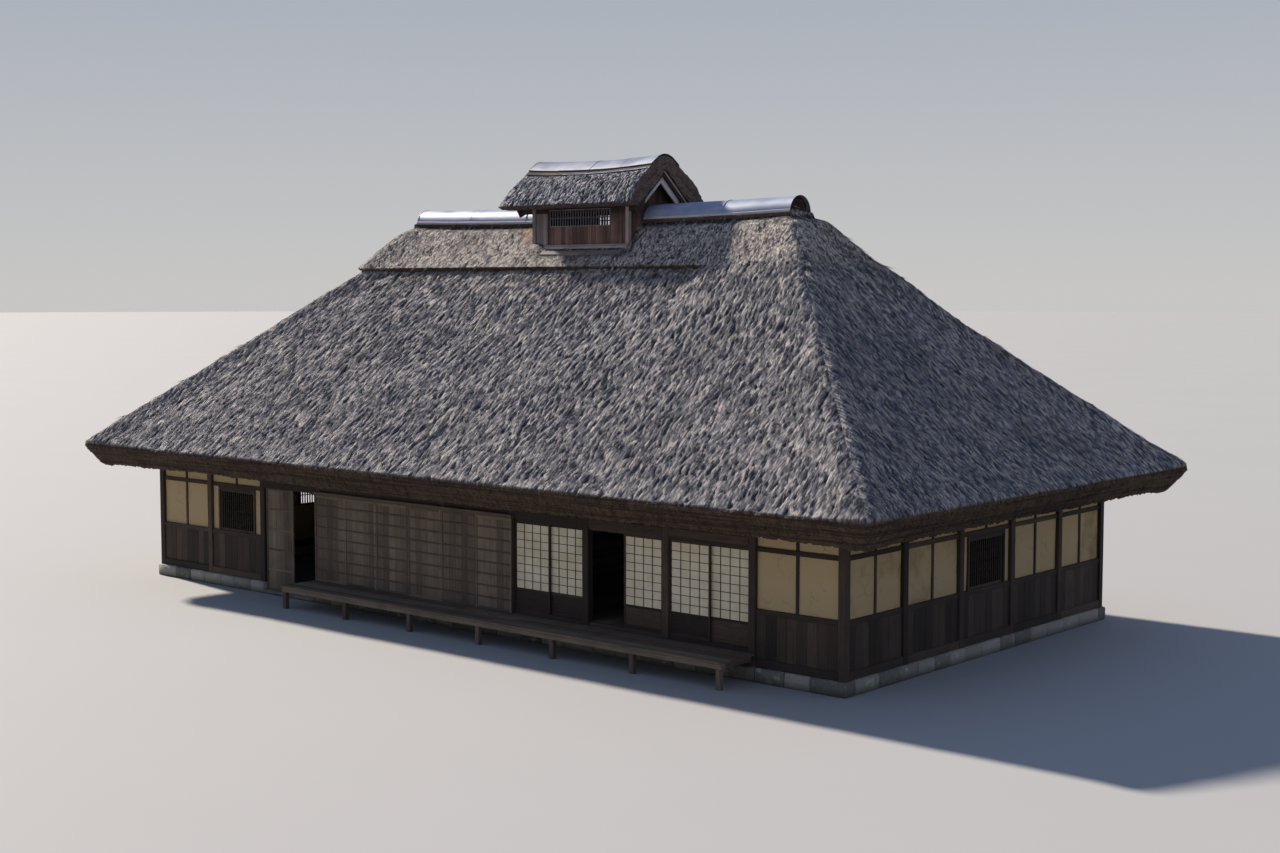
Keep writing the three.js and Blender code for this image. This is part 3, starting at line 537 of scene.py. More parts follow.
def screen_paper():
    """Handmade paper: warm white with cloudy fibres."""
    finish = Finish("screen_paper", 0.9, 0.2)
    add = finish.add
    fibre = streaks(add, finish.place, 0.03, 4.0, 0.7, 1.5)
    cloud = streaks(add, finish.place, 0.5)
    colour = add("ShaderNodeValToRGB", {0: cloud}, stops=[(0.3, "#dcd3bb"), (0.7, "#c5b99b")])
    colour = layered(add, colour, (fibre, 0.5, 0.75, 0.0, 0.35, "#ece6d6"))
    return finish.coat(colour, fibre, 0.0008, 0.5)


def dressed_stone():
    """Andesite dressed with a point: speckled grey, pitted, with lichen, and damp at the foot."""
    finish = Finish("dressed_stone", 0.88)
    add, place = finish.add, finish.place
    speck = streaks(add, place, 0.006, 3.0, 0.7)
    pits = streaks(add, place, 0.03, 2.0)
    lichen = streaks(add, place, 0.22, 5.0, 0.65)
    colour = add("ShaderNodeValToRGB", {0: weighted(add, (speck, 0.7), (finish.tone, 0.45), (pits, 0.4))},
                 stops=[(0.40, "#4b4945"), (0.75, "#75726b"), (1.0, "#96928a")])
    colour = layered(add, colour, (lichen, 0.56, 0.66, 0.0, 0.7, "#a6a593"),
                     (add("ShaderNodeSeparateXYZ", {0: place}).outputs[2], 0.0, 0.14, 0.6, 0.0, "#3d3a33"))
    return finish.coat(colour, weighted(add, (speck, 0.4), (pits, 1.0), (lichen, 0.5)), 0.010)


FINISHES = {}


def make_materials():
    """Fills FINISHES with every finish of the house by its plain name, once."""
    if not FINISHES:
        FINISHES.update({
            "thatch": reed_thatch("weathered_reed", "#1f1d1f", "#585356", "#8f8988", "#cbc1b3",
                                  ("#84705a", "#5b4b3e", "#241d19")),
            "vent_thatch": reed_thatch("old_vent_reed", "#1f1d1f", "#686568", "#b6b2b3", "#ece4da",
                                       ("#a08a80", "#786862", "#3c3434"), 0.15),
            "ridge_metal": painted_sheet("painted_ridge_steel", "#717e9b", "#8e98ae", "#3f2a23", 0.45),
            "hem_metal": painted_sheet("worn_hem_steel", "#9c9398", "#b0a8ab", "#46302a", 0.50),
            "vent_metal": painted_sheet("painted_vent_steel", "#5d6882", "#7b8497", "#2b2322", 0.42),
            # Near-black strips under the vent cap's edges: painted shade under the sheets' overhang.
            "shade_strip": painted_sheet("painted_shade_steel", "#0e0f12", "#17181c", "#120f0f", 0.85, 0.0),
            "weathered_board": timber("weathered_cedar", "#4a4143", "#807573", "#aea49b"),
            "bleached_board": timber("bleached_cedar", "#78757a", "#b3afb3", "#dad6d2"),
            # The vent's boards, beams and gables are painted near black up under its eave: painted shade.
            "vent_board": timber("reddened_cedar", "#362623", "#674e47", "#937365", stained=0.5,
                                 eave_shade=(7.97, 8.27)),
            "sooted_bar": timber("sooted_bar", "#3f3c40", "#69666b", "#938f94"),
            "dark_timber": timber("smoked_timber", "#1b1614", "#382d27", "#5a4b40"),
            "plank": timber("silvered_plank", "#3a3129", "#65584c", "#8c7f6d"),
            "clay_plaster": clay_plaster(),
            "paper": screen_paper(),
            "stone": dressed_stone(),
        })


# Thatch


# Parts of a coat's section: the bed under the ridge cap, the coat's face, a cut end, and what is hidden
BED, FACE, CUT, INSIDE = range(4)


def cut_rows(start, legs):
    """A coat's section cut into rows of (out, z), with the distance run and the kind at each row. A leg is
    the point where it ends, the step between its rows, and its kind."""
    rows, run, kinds = [start], [0.0], [legs[0][2]]
    a0, z0 = start
    for (a1, z1), step, kind in legs:
        length = math.hypot(a1 - a0, z1 - z0)
        count = max(1, round(length / step))
        for i in range(1, count + 1):
            rows.append((a0 + (a1 - a0) * i / count, z0 + (z1 - z0) * i / count))
            run.append(run[-1] + length / count)
            kinds.append(kind)
        a0, z0 = a1, z1
    return np.array(rows), np.array(run), np.array(kinds)


def row_normals(rows):
    """Outward normals of a closed section that runs from the ridge down and back underneath."""
    tangent = np.roll(rows, -1, axis=0) - np.roll(rows, 1, axis=0)
    tangent[0] = rows[1] - rows[0]
    normal = np.stack([-tangent[:, 1], tangent[:, 0]], axis=1)
    normal /= np.maximum(np.linalg.norm(normal, axis=1, keepdims=True), 1e-9)
    return normal


RIDGE_BED = [(0.0, 8.300), (0.150, 8.250), (0.260, 8.160), (0.300, CAP_SEAT_Z), (SEAT_OUT, CAP_SEAT_Z)]
UNDER_EAVE = 0.10  # the eave's underside stays this far above the rafters
FILL_OUT = 2.8  # where the packing against the upper coat has died out


def fill_height(out, fill):
    """How far the lower coat is packed up to the upper one where that has no cut lip."""
    step = LIP[1] - (LIP_FOOT[1] - LOWER_FALL * (LIP[0] - LIP_FOOT[0]))
    return fill * step * (1.0 - smooth((out - LIP[0]) / (FILL_OUT - LIP[0])))


def coat_section(coat, step):
    """Rows of one thatch coat: 'upper', 'lower', or 'whole' with or without a lip ('plain')."""
    def over_rafters(out, rise):
        return out, rafter_z(out) + rise

    bed = [(point, 0.2, BED) for point in RIDGE_BED[1:]]
    combed = [(LIP, step, FACE)]
    lip = [(LIP_FOOT, 0.035, CUT)]
    eave = [(EAVE, step, FACE), (EAVE_NOSE, 0.04, CUT), (EAVE_TURN, 0.04, CUT),
            ((EAVE_FOOT_OUT + 0.02, rafter_z(EAVE_FOOT_OUT) - 0.01), 0.045, CUT),
            (over_rafters(EAVE_FOOT_OUT - 0.08, 0.05), 0.1, INSIDE),
            (over_rafters(EAVE_FOOT_OUT - 0.26, UNDER_EAVE), 0.2, INSIDE),
            (over_rafters(WALL_Y + 0.02, UNDER_EAVE), 0.4, INSIDE),
            (over_rafters(WALL_Y - 0.02, 0.006), 0.1, INSIDE)]
    joint = (JOINT_FOOT_OUT, rafter_z(JOINT_FOOT_OUT))
    to_ridge = [((0.0, rafter_z(0.0)), 3.0, INSIDE)]
    start, legs = {
        "upper": (RIDGE_BED[0], bed + combed + lip + [(joint, 0.4, INSIDE)] + to_ridge),
        "lower": (LIP_FOOT, eave + [(joint, 3.0, INSIDE)]),
        "whole": (RIDGE_BED[0], bed + combed + lip + eave + to_ridge),
        "plain": (RIDGE_BED[0], bed + combed + eave + to_ridge),
    }[coat]
    return cut_rows(start, legs)


# Straw tips of the roof, as width, length and seed: the big clumps, the finer ones over them, and the
# combed ones that take the place of the big ones on the upper coat
CLUMPS, FINE_CLUMPS, COMBED = (0.074, 0.30, 11), (0.036, 0.18, 31), (0.052, 0.13, 21)
COMBED_RUN = 2.0  # distance run down the slope at which the combing has ended
LOWER_RUN = 1.9  # the same at the top of a lower coat


def thatch_slab(name, quarter, coat, step, columns, relief_depth):
    """One coat of a roof side, in the side's own frame: a runs along the eave, out away from the ridge.
    Quarters 0 to 3 are front, right, rear and left."""
    rows, run, kinds = coat_section(coat, step)
    out, z = rows[:, :1], rows[:, 1:]
    t = np.linspace(-1.0, 1.0, columns)[None, :]
    on_end = quarter in (1, 3)
    reach = out if on_end else HIP_X + out
    a = t * np.maximum(reach, 0.002)
    x = {0: a, 1: HIP_X + out + 0 * a, 2: -a, 3: -HIP_X - out + 0 * a}[quarter]
    fill = smooth((x - LIP_END_X + 0.3) / 0.6)
    past_lip = run[:, None] > (0.0 if coat == "lower" else 1.6)
    is_lower = (kinds[:, None] == FACE) & (out > LIP_FOOT[0] - 0.001) & past_lip
    z = z + 0 * a
    if coat == "plain":
        base = np.where(is_lower, LIP_FOOT[1] - LOWER_FALL * (out - LIP_FOOT[0]), z)
        z = np.where(is_lower, base + fill_height(out, 1.0), z)
    elif coat == "lower":
        z = z + np.where(is_lower, fill_height(out, fill) * smooth((out - LIP_FOOT[0]) / 0.03 + 0.85), 0.0)
    if not on_end:
        droop = np.clip((LIP[0] - out) / (LIP[0] - RIDGE_BED[-1][0]), 0, 1)
        dip = RIDGE_SAG * droop * np.clip(1 - (a / CAP_END) ** 2, 0, None)
        z = z - np.where(rows[:, 1:] > LIP[1] - 0.01, dip, 0.0)

    # Normals lean over at the hips, so that two sides meet in one bulge
    flat_normal = row_normals(rows)
    slope_out, slope_up = flat_normal[:, :1] + 0 * a, flat_normal[:, 1:] + 0 * a
    to_hip = (1.0 - np.abs(t)) * reach
    inside = 0.5 + 0.5 * smooth(to_hip / 0.3)
    normal = np.stack([np.sign(t) * slope_out * (1 - inside), -slope_out * inside, slope_up], axis=-1)
    normal /= np.linalg.norm(normal, axis=-1, keepdims=True)

    # Relief of the straw, and the wander of the hips
    v = run[:, None] + 0 * a + (LOWER_RUN if coat == "lower" else 0.0)
    along = a + 40.0 + 25.0 * quarter
    clump, tone = straw_clumps(along, v, *CLUMPS)
    fine, fine_tone = straw_clumps(along, v, *FINE_CLUMPS)
    combed, combed_tone = straw_clumps(along, v, *COMBED)
    upper = np.zeros_like(v) if coat == "lower" else smooth((COMBED_RUN - v) / 0.2)
    waves = 0.034 * value_noise(along / 1.9, v / 1.3, 51) + 0.016 * value_noise(along / 0.5, v / 0.6, 61)
    clump, tone = clump + (combed - clump) * upper, tone + (combed_tone - tone) * upper
    straw = 0.75 * clump + 0.5 * fine - 0.55
    surface = waves * (1 - 0.4 * upper) + relief_depth * (1 - 0.45 * upper) * straw

    hip_number = np.where(t > 0, quarter, (quarter - 1) % 4)
    ridge_line = np.zeros_like(a)
    for k in range(4):
        wander = 0.024 * value_noise(out / 0.5, 0.5, 71 + k) + 0.016 * value_noise(out / 0.12, 0.5, 81 + k)
        ridge_line = np.where(hip_number == k, wander, ridge_line)
    near_hip = 1 - smooth(to_hip / 0.20)
    crown = 0.090 * np.exp(-(to_hip / 0.55) ** 2) - 0.065 * np.clip(1 - to_hip / 0.28, 0, 1) ** 2
    height = ridge_line * near_hip + surface * (1 - 0.7 * near_hip) + crown

    # It fades out under the cap and beside the vent, where the straw is worn down, and at the cut ends
    kind = kinds[:, None] + 0 * a
    bed = smooth((out - CAP_HEM_OUT) / 0.30) + 0 * a
    groove = 0.070 * (1 - smooth((out - 0.39) / 0.19)) + 0 * a
    weight = np.select([kind == FACE, kind == CUT], [0.25 + 0.75 * bed, 0.55 + 0 * a], 0.0)
    if not on_end:
        beside = smooth((1.78 - np.abs(a - 0.22 * (1 - quarter))) / 0.35)
        by_vent = smooth((VENT_HALF + 0.36 - out) / 0.18) * beside
        weight = weight * (1 - 0.8 * by_vent)
        before_wall = smooth((out - VENT_HALF + 0.35) / 0.3)
        groove = groove + VENT_FOOT_SUNK * by_vent * before_wall * smooth((x + 1.05) / 0.4)
    cut_grain = 0.014 * value_noise(a / 0.035, run[:, None] / 0.035, 91 + quarter)
    cut_grain += 0.012 * value_noise(a / 0.16, 0.5, 95 + quarter)
    height = height * weight - groove * (kind == FACE) + cut_grain * (kind == CUT)
    points = np.stack([a, -out + 0 * a, z], axis=-1) + normal * height[..., None]

    if on_end:
        points[..., 1] -= HIP_X

    # Tones, with a patch of new straw under the cap, left of the vent
    relief = np.where(kind == FACE, np.clip(0.55 * clump + 0.55 * fine + 0.05 + 0.15 * upper, 0, 1), 0.75)
    # Lowering the relief in the groove makes the material paint the straw darker there: painted shade under
    # the cap's hem and round the vent's foot.
    relief = relief * (1 - np.clip(10 * groove, 0, 0.7) * (kind == FACE))
    cut = np.where(kind == CUT, 1.0, 0.0)
    patch = 1 - np.hypot((a + 1.45) / 0.42, (out - 0.62) / 0.26)
    fresh = smooth(patch + 0.5 * value_noise(a / 0.1, out / 0.07, 99)) * 0.6 * (quarter == 0)
    tones = np.stack([0.6 * tone + 0.4 * fine_tone, relief, cut, fresh], axis=-1)
    faces = grid_faces(len(rows), columns, wrap=True)[:, ::-1]
    stock = Stock()
    stock.add(turned(points, quarter), faces, corner_uvs(faces, a, v), tones.reshape(-1, 4))
    left = np.arange(len(rows)) * columns
    right = left + columns - 1
    for loop in (left[::-1], right):
        stock.add_faces(loop[None, :], np.stack([out.ravel(), rows[:, 1]], axis=-1)[None], 0)
    return stock.piece(name, "thatch", sharp=70)


def cut_well(piece):
    """Opens the roof under the vent."""
    well = Stock(1)
    board(well, (VENT_X0, -VENT_HALF, 6.6), (VENT_X1, VENT_HALF, 8.9), 2, ease=0.0001, step=9.0)
    cutter = well.piece("well_cutter", "thatch")
    opening = piece.modifiers.new("well", "BOOLEAN")
    opening.operation = "DIFFERENCE"
    opening.solver = "MANIFOLD"
    opening.object = cutter
    made_plain(piece, cutter)


def main_thatch():
    """The four sides. The front, which is seen from near by, has the most rows and columns."""
    for name, quarter, columns, step in (("front", 0, 620, 0.045), ("rear", 2, 360, 0.080)):
        upper = thatch_slab(f"{name}_thatch_coat_upper", quarter, "upper", step, columns - 60, 0.030)
        cut_well(upper)
        wear(upper, "thatch", f"{name}_thatch_upper")
        lower = thatch_slab(f"{name}_thatch_coat_lower", quarter, "lower", step, columns, 0.056)
        wear(lower, "thatch", f"{name}_thatch_lower")
    for name, quarter, coat, step, columns in (("right", 1, "plain", 0.055, 320),
                                               ("left", 3, "whole", 0.070, 240)):
        wear(thatch_slab(f"{name}_thatch_coat", quarter, coat, step, columns, 0.056), "thatch",
             f"{name}_thatch")


# Sheet metal caps


ARCH = np.linspace(0.0, math.pi, 33)  # angles round the half-round cap


def ridge_dip(x):
    """How far the ridge has sagged at x."""
    return RIDGE_SAG * np.clip(1 - (np.asarray(x) / CAP_END) ** 2, 0, None)


def arch_sheet(stock, x0, x1, lift, open_end=0):
    """One bent sheet of the ridge cap, with a rolled bead where it laps the next one."""
    draw = stock.draw
    half, rise = CAP_HALF, CAP_TOP_Z - CAP_SEAT_Z
    lap, bead, thick = 0.045, 0.007, 0.005
    body = np.arange(x0, x1, 0.12)
    ends = [x1, x1 + lap - 0.020, x1 + lap - 0.014, x1 + lap - 0.006, x1 + lap]
    x = np.concatenate([body, ends])
    swell = np.concatenate([np.zeros(len(body) + 1), [0.0, bead, bead, 0.0]]) + lift
    if open_end < 0:
        x = np.concatenate([[x0, x0 + 0.004, x0 + 0.014, x0 + 0.020], x[1:]])
        swell = np.concatenate([[0.0, bead, bead, 0.0], swell[1:]])
    if open_end > 0:
        x = np.minimum(x, CAP_END)
    seed = int(draw.integers(1, 999))
    dents = 0.0020 * value_noise(x[:, None] / 0.45, ARCH[None, :] / 0.6, seed)
    grow = swell[:, None] + dents * np.sin(ARCH)[None, :]

    def skin(inset):
        y = (half - inset + grow) * np.cos(ARCH)
        return np.stack([x[:, None] + 0 * y, y, CAP_SEAT_Z + (rise - inset + grow) * np.sin(ARCH)], axis=-1)

    rings = np.concatenate([skin(0.0), skin(thick)[:, ::-1]], axis=1)
    rings[:, :, 2] -= ridge_dip(x)[:, None]
    worn = np.ones(rings.shape[:2])
    worn[-2:] = 0.72
    worn[:2] = 0.85
    foot = np.concatenate([np.sin(ARCH), np.sin(ARCH)[::-1]])
    worn = worn * (0.72 + 0.28 * smooth(foot / 0.25))[None, :]
    worn[:, len(ARCH):] *= 0.62
    tones = np.stack([np.full_like(worn, draw.uniform()), worn, 0 * worn, 0 * worn], axis=-1)
    loft(stock, rings, tones.reshape(-1, 4), draw.uniform(0, 30))


def hem_strip(stock, x0, x1, side, section, worn):
    """A folded strip along the foot of the ridge cap, following the dip of the ridge."""
    x = np.linspace(x0, x1, max(3, int((x1 - x0) / 0.2)))
    rings = np.zeros((len(x), len(section), 3))
    rings[:, :, 0] = x[:, None]
    rings[:, :, 1:] = on_side(section, side)
    rings[:, :, 2] -= ridge_dip(x)[:, None]
    rings[:, :, 1:] += stock.draw.uniform(-0.0015, 0.0015, (len(x), 1, 2))
    loft(stock, rings, (stock.draw.uniform(), worn, 0.0, 0.0), stock.draw.uniform(0, 30))


def ridge_cap(name, sheets):
    """A stretch of the cap: bent sheets between the given seams, with a hem on both sides."""
    metal = Stock(5)
    for i, (x0, x1) in enumerate(zip(sheets, sheets[1:])):
        open_end = -1 if x0 < -CAP_END + 0.01 else 1 if x1 > CAP_END - 0.06 else 0
        arch_sheet(metal, x0, x1, 0.0035 * (i % 2), open_end)
    wear(metal.piece(name + "_sheets", "ridge_metal", sharp=35), "ridge_metal", name)
    hems, planks = Stock(metal.draw), Stock(metal.draw)
    half, hem, seat = CAP_HALF, CAP_HEM_OUT, CAP_SEAT_Z
    band = [(half + 0.001, seat + 0.010), (half + 0.008, seat + 0.010), (half + 0.008, seat + 0.052),
            (half + 0.004, seat + 0.058), (half - 0.001, seat + 0.056)]
    flange = [(half - 0.004, seat - 0.004), (hem, seat - 0.006), (hem + 0.003, seat + 0.003),
              (hem, seat + 0.011), (half - 0.004, seat + 0.011)]
    plank = [(half - 0.040, seat - 0.062), (hem + 0.004, seat - 0.062), (hem + 0.008, seat - 0.007),
             (half - 0.040, seat - 0.007)]
    x0, x1 = sheets[0], min(sheets[-1] + 0.04, CAP_END)
    for side in (-1, 1):
        hem_strip(hems, x0, x1, side, band, 0.80)
        hem_strip(hems, x0, x1, side, flange, 0.30)
        hem_strip(planks, x0 - (0.06 if x0 < -CAP_END + 0.01 else 0.0), x1 - 0.02, side, plank, 1.0)
    wear(hems.piece(name + "_hems", "hem_metal", sharp=30), "ridge_metal")
    wear(planks.piece(name + "_planks", "dark_timber", sharp=30), "ridge_metal")


def ridge_ends():
    """Rough butts of straw that fill the open ends of the ridge cap."""
    half, rise = CAP_HALF - 0.008, CAP_TOP_Z - CAP_SEAT_Z - 0.008
    arch = np.stack([half * np.cos(ARCH), CAP_SEAT_Z + rise * np.sin(ARCH)], axis=-1)
    foot = np.stack([np.linspace(-half, half, 14)[1:-1], np.full(12, CAP_SEAT_Z - 0.03)], axis=-1)
    outline = np.concatenate([arch, foot])
    centre = np.array([0.0, CAP_SEAT_Z + 0.10])
    shrink = np.concatenate([[1.0, 1.0], np.linspace(0.97, 0.03, 16)])
    for name, side in (("left", -1), ("right", 1)):
        rings = np.zeros((len(shrink), len(outline), 3))
        rings[:, :, 1:] = centre + (outline - centre)[None] * shrink[:, None, None]
        y, z = rings[:, :, 1], rings[:, :, 2]
        grain = 0.024 * value_noise(y / 0.035, z / 0.035, 7 + side)
        grain += 0.02 * value_noise(y / 0.1, z / 0.1, 17 + side)
        rings[:, :, 0] = CAP_END - 0.075 + 0.03 * (1 - shrink[:, None] ** 2) + 0.6 * grain
        rings[0, :, 0] = CAP_END - 0.30
        rings[:, :, 2] -= ridge_dip(rings[:, :, 0])
        rings[:, :, 0] *= side
        if side < 0:
            rings = rings[:, ::-1]
        tone = 0.5 + 0.5 * value_noise(rings[:, :, 1] / 0.02, rings[:, :, 2] / 0.02, 27)
        # Their low relief makes the material paint them darker: painted shade inside the cap's open ends.
        tones = np.stack([tone, 0.30 + 0 * tone, 1 + 0 * tone, 0 * tone], axis=-1).reshape(-1, 4)
        stock = Stock()
        loft(stock, rings, tones)
        wear(stock.piece(f"{name}_ridge_butts", "thatch", sharp=70), "thatch")


def vent_dip(x, out):
    """How far the vent's ridge has sagged at x; that fades out towards its eaves."""
    centre, half = (VENT_ROOF_X0 + VENT_ROOF_X1) / 2, (VENT_ROOF_X1 - VENT_ROOF_X0) / 2
    droop = np.clip(1 - ((np.asarray(x) - centre) / half) ** 2, 0, None)
    fade = np.clip((VENT_EAVE[1][0] - np.abs(out)) / (VENT_EAVE[1][0] - VENT_EAVE[0][0]), 0, 1)
    return VENT_SAG * droop * fade


# Half the section of the vent's cap, and of the second strip under its edge, as (y, z)
VENT_CAP_LINE = [(0.0, 9.352), (0.045, 9.351), (0.10, 9.343), (0.16, 9.323), (0.22, 9.300),
                 (0.32, 9.2325), (0.415, 9.168), (0.436, 9.148), (0.434, 9.118)]
VENT_SKIRT_LINE = [(0.395, 9.140), (0.46, 9.098), (0.522, 9.048), (0.519, 9.032)]


def sheet_section(line, thick):
    """A closed ring of (y, z) round a bent sheet, given its upper line from +y to -y."""
    line = np.array(line)
    return np.concatenate([line, (line - line_normals(line) * thick)[::-1]])


def vent_cap():
    """Four folded sheets with a near-black strip under each edge, painted shade under the sheets' overhang,
    and a thin rod along the strips.
    """
    draw = np.random.default_rng(6)
    stock, shade_strip, rods = (Stock(draw) for _ in range(3))
    whole = VENT_CAP_LINE[::-1] + [(-y, z) for y, z in VENT_CAP_LINE[1:]]
    skirts = [VENT_SKIRT_LINE[::-1], [(-y, z) for y, z in VENT_SKIRT_LINE]]
    seams = np.linspace(VENT_ROOF_X0, VENT_ROOF_X1, 5)
    for i, (x0, x1) in enumerate(zip(seams, seams[1:])):
        for line in [whole] + skirts:
            ring = sheet_section(line, 0.006)
            end = min(x1 + 0.03, VENT_ROOF_X1)
            x = np.concatenate([np.arange(x0, end - 0.05, 0.11),
                                end - np.array([0.014, 0.010, 0.003, 0.0])])
            swell = np.concatenate([np.zeros(len(x) - 3), [0.005, 0.005, 0.0]]) + 0.003 * (i % 2)
            rings = np.zeros((len(x), len(ring), 3))
            rings[:, :, 0] = x[:, None]
            rings[:, :, 1:] = ring
            seed = int(draw.integers(1, 999))
            dents = 0.0025 * value_noise(x[:, None] / 0.3, ring[None, :, 0] / 0.2, seed)
            rings[:, :, 2] += dents + swell[:, None] - vent_dip(x, 0.3)[:, None]
            worn = np.ones(rings.shape[:2])
            last = len(line) - 1
            if line is whole:
                worn[:, [0, 1, last - 1, last]] = (0.1, 0.45, 0.45, 0.1)
            worn[:, last + 1:] = 0.2
            if i in (0, 3):
                worn[-1 if i else 0] = 0.2
            tones = np.stack([np.full_like(worn, draw.uniform()), worn, 0 * worn, 0 * worn], axis=-1)
            loft(stock if line is whole else shade_strip, rings, tones.reshape(-1, 4), draw.uniform(0, 30))
    for side, x0 in ((-1, VENT_X0 + 0.65), (1, VENT_ROOF_X0 + 0.02)):
        x = np.linspace(x0, VENT_ROOF_X1 - 0.07, 26)
        line = np.stack([x, side * 0.526 + 0 * x, 9.056 - vent_dip(x, 0.3)], axis=1)
        pole(rods, line, 0.012)
    wear(stock.piece("vent_cap_sheets", "vent_metal", sharp=30), "vent_metal", "vent_ridge_cap")
    # The strips under the sheets' edges are near black: painted shade under the cap's overhang.
    wear(shade_strip.piece("vent_cap_underlay", "shade_strip", sharp=30), "vent_metal")
    wear(rods.piece("vent_cap_rods", "ridge_metal"), "vent_metal")


def resampled(points, count):
    """A broken line of (out, z) cut into evenly spaced points, with the distance run at each."""
    points = np.array(points, float)
    run = np.concatenate([[0], np.cumsum(np.linalg.norm(np.diff(points, axis=0), axis=1))])
    at = np.linspace(0, run[-1], count)
    return np.stack([np.interp(at, run, points[:, i]) for i in range(2)], axis=1), at


def vent_thatch():
    """The vent's thatch in one piece over its ridge, with flared verges and cut ends at both gables."""
    upper = [(0.0, 9.325), (0.20, 9.285), (0.41, 9.13)] + VENT_EAVE
    half, run = resampled(upper, 104)
    top = np.concatenate([half[:0:-1], half * (-1, 1)])
    v = np.concatenate([run[:0:-1], run])
    under = [(1.198, 8.325), (1.172, VENT_HEAD_TOP), (VENT_UNDER_OUT, VENT_HEAD_TOP), (0.0, VENT_APEX_Z)]
    soffit = resampled(under + [(-y, z) for y, z in under[-2::-1]], 41)[0][::-1]
    columns = 330
    verge = 0.9  # how far in from a gable the thatch swells and flares
    x = np.linspace(VENT_ROOF_X0, VENT_ROOF_X1, columns)[:, None]
    side = np.sign(top[:, 0])[None, :]
    out = np.abs(top[:, 0])[None, :] + 0 * x
    down = v[None, :] + 0 * x
    along = x + 20.0 + 30.0 * (side > 0)
    clump, tone = straw_clumps(along + 0 * down, down, 0.066, 0.15, 200)
    fine, fine_tone = straw_clumps(along + 0 * down, down, 0.030, 0.080, 201)
    height = 0.020 * value_noise(along / 0.7, down / 0.5, 202) + 0.050 * (0.70 * clump + 0.55 * fine - 0.55)
    to_verge = np.minimum(x - VENT_ROOF_X0, VENT_ROOF_X1 - x)
    full = smooth((x - VENT_ROOF_X1 + verge) / verge)
    full = full * smooth((out - 0.40) / 0.42) * smooth((1.22 - out) / 0.36)
    height = height * (0.4 + 0.6 * smooth(to_verge / 0.10)) - 0.018 * (1 - smooth(to_verge / 0.12)) ** 2
    cover = smooth((out - 0.52) / 0.09)
    height = height * cover - 0.034 * (1 - cover) * smooth((to_verge - 0.03) / 0.05) + 0.055 * full
    ragged = 0.030 * value_noise(along / 0.045, 3.0, 203) * smooth((down - run[-1] + 0.12) / 0.12)
    normal = line_normals(top)
    y = top[None, :, 0] + normal[None, :, 0] * height + side * ragged
    z = top[None, :, 1] + normal[None, :, 1] * height - vent_dip(x, out) - 0.4 * np.abs(ragged)
    face = np.stack([x + 0 * y, y, z], axis=-1)
    relief = np.clip(0.50 * clump + 0.55 * fine + 0.05, 0, 1)
    face_tones = np.stack([0.6 * tone + 0.4 * fine_tone, relief, 0 * relief, 0 * relief], axis=-1)
    low = np.zeros((columns, len(soffit), 3))
    low[:, :, 0] = x
    low[:, :, 1:] = soffit
    low[:, :, 2] += 0.012 * value_noise(x / 0.06, soffit[None, :, 0] / 0.1, 204)
    low_tones = np.zeros((columns, len(soffit), 4)) + (0.5, 0.0, 1.0, 0.0)
    # The soffit's relief is kept low, lowest inwards, so the material paints it near black: painted shade
    # under the vent's eave.
    low_tones[:, :, 1] = 0.45 * smooth((np.abs(soffit[None, :, 0]) - 0.80) / 0.1)
    rings = np.concatenate([face, low], axis=1)
    tones = np.concatenate([face_tones, low_tones], axis=1)
    flare = smooth((np.abs(rings[:, :, 1]) - 0.45) / 0.75) * smooth((rings[:, :, 2] - 8.24) / 0.06)
    at_left = smooth((VENT_ROOF_X0 + verge - rings[:, :, 0]) / verge)
    at_right = smooth((rings[:, :, 0] - VENT_ROOF_X1 + verge) / verge)
    rings[:, :, 0] += flare * (0.06 * at_right - 0.15 * at_left)

    share_top = np.linspace(0, 1, face.shape[1])
    share_low = np.linspace(1, 0, low.shape[1])

    def closing(ring, ring_tones, direction, seed):
        """Rings that shrink to a slit between roof and soffit, so that the gable end is cut straw."""
        a, b = ring[:face.shape[1]], ring[face.shape[1]:]
        across = np.stack([np.interp(share_top, share_low[::-1], b[::-1, i]) for i in range(3)], axis=1)
        over = np.stack([np.interp(share_low, share_top, a[:, i]) for i in range(3)], axis=1)
        middle = (ring + np.concatenate([across, over])) / 2
        levels = np.linspace(0.96, 0.02, 9)[:, None, None]
        rings = middle + (ring - middle) * levels
        y, z = rings[:, :, 1], rings[:, :, 2]
        bump = 0.020 * value_noise(y / 0.03, z / 0.03, seed)
        bump += 0.016 * value_noise(y / 0.11, z / 0.11, seed + 1)
        rings[:, :, 0] += direction * (bump + 0.025 * (1 - levels[:, :, 0] ** 4))
        end_tones = np.broadcast_to(ring_tones, rings.shape[:2] + (4,)).copy()
        end_tones[..., 0] = 0.5 + 0.5 * value_noise(y / 0.02, z / 0.02, seed + 2)
        end_tones[..., 1], end_tones[..., 2] = 0.8, 1.0
        return rings, end_tones

    left, left_tones = closing(rings[0], tones[0], -1, 210)
    right, right_tones = closing(rings[-1], tones[-1], 1, 220)
    rings = np.concatenate([left[::-1], rings, right])
    tones = np.concatenate([left_tones[::-1], tones, right_tones])
    stock = Stock()
    loft(stock, rings, tones.reshape(-1, 4))
    piece = stock.piece("vent_thatch_roof", "vent_thatch", sharp=50)
    wear(piece, "thatch", "vent_front_thatch", "vent_rear_thatch")


# Repeats: Geometry Nodes scatter tufts of straw over the thatch, and set bars in their rows


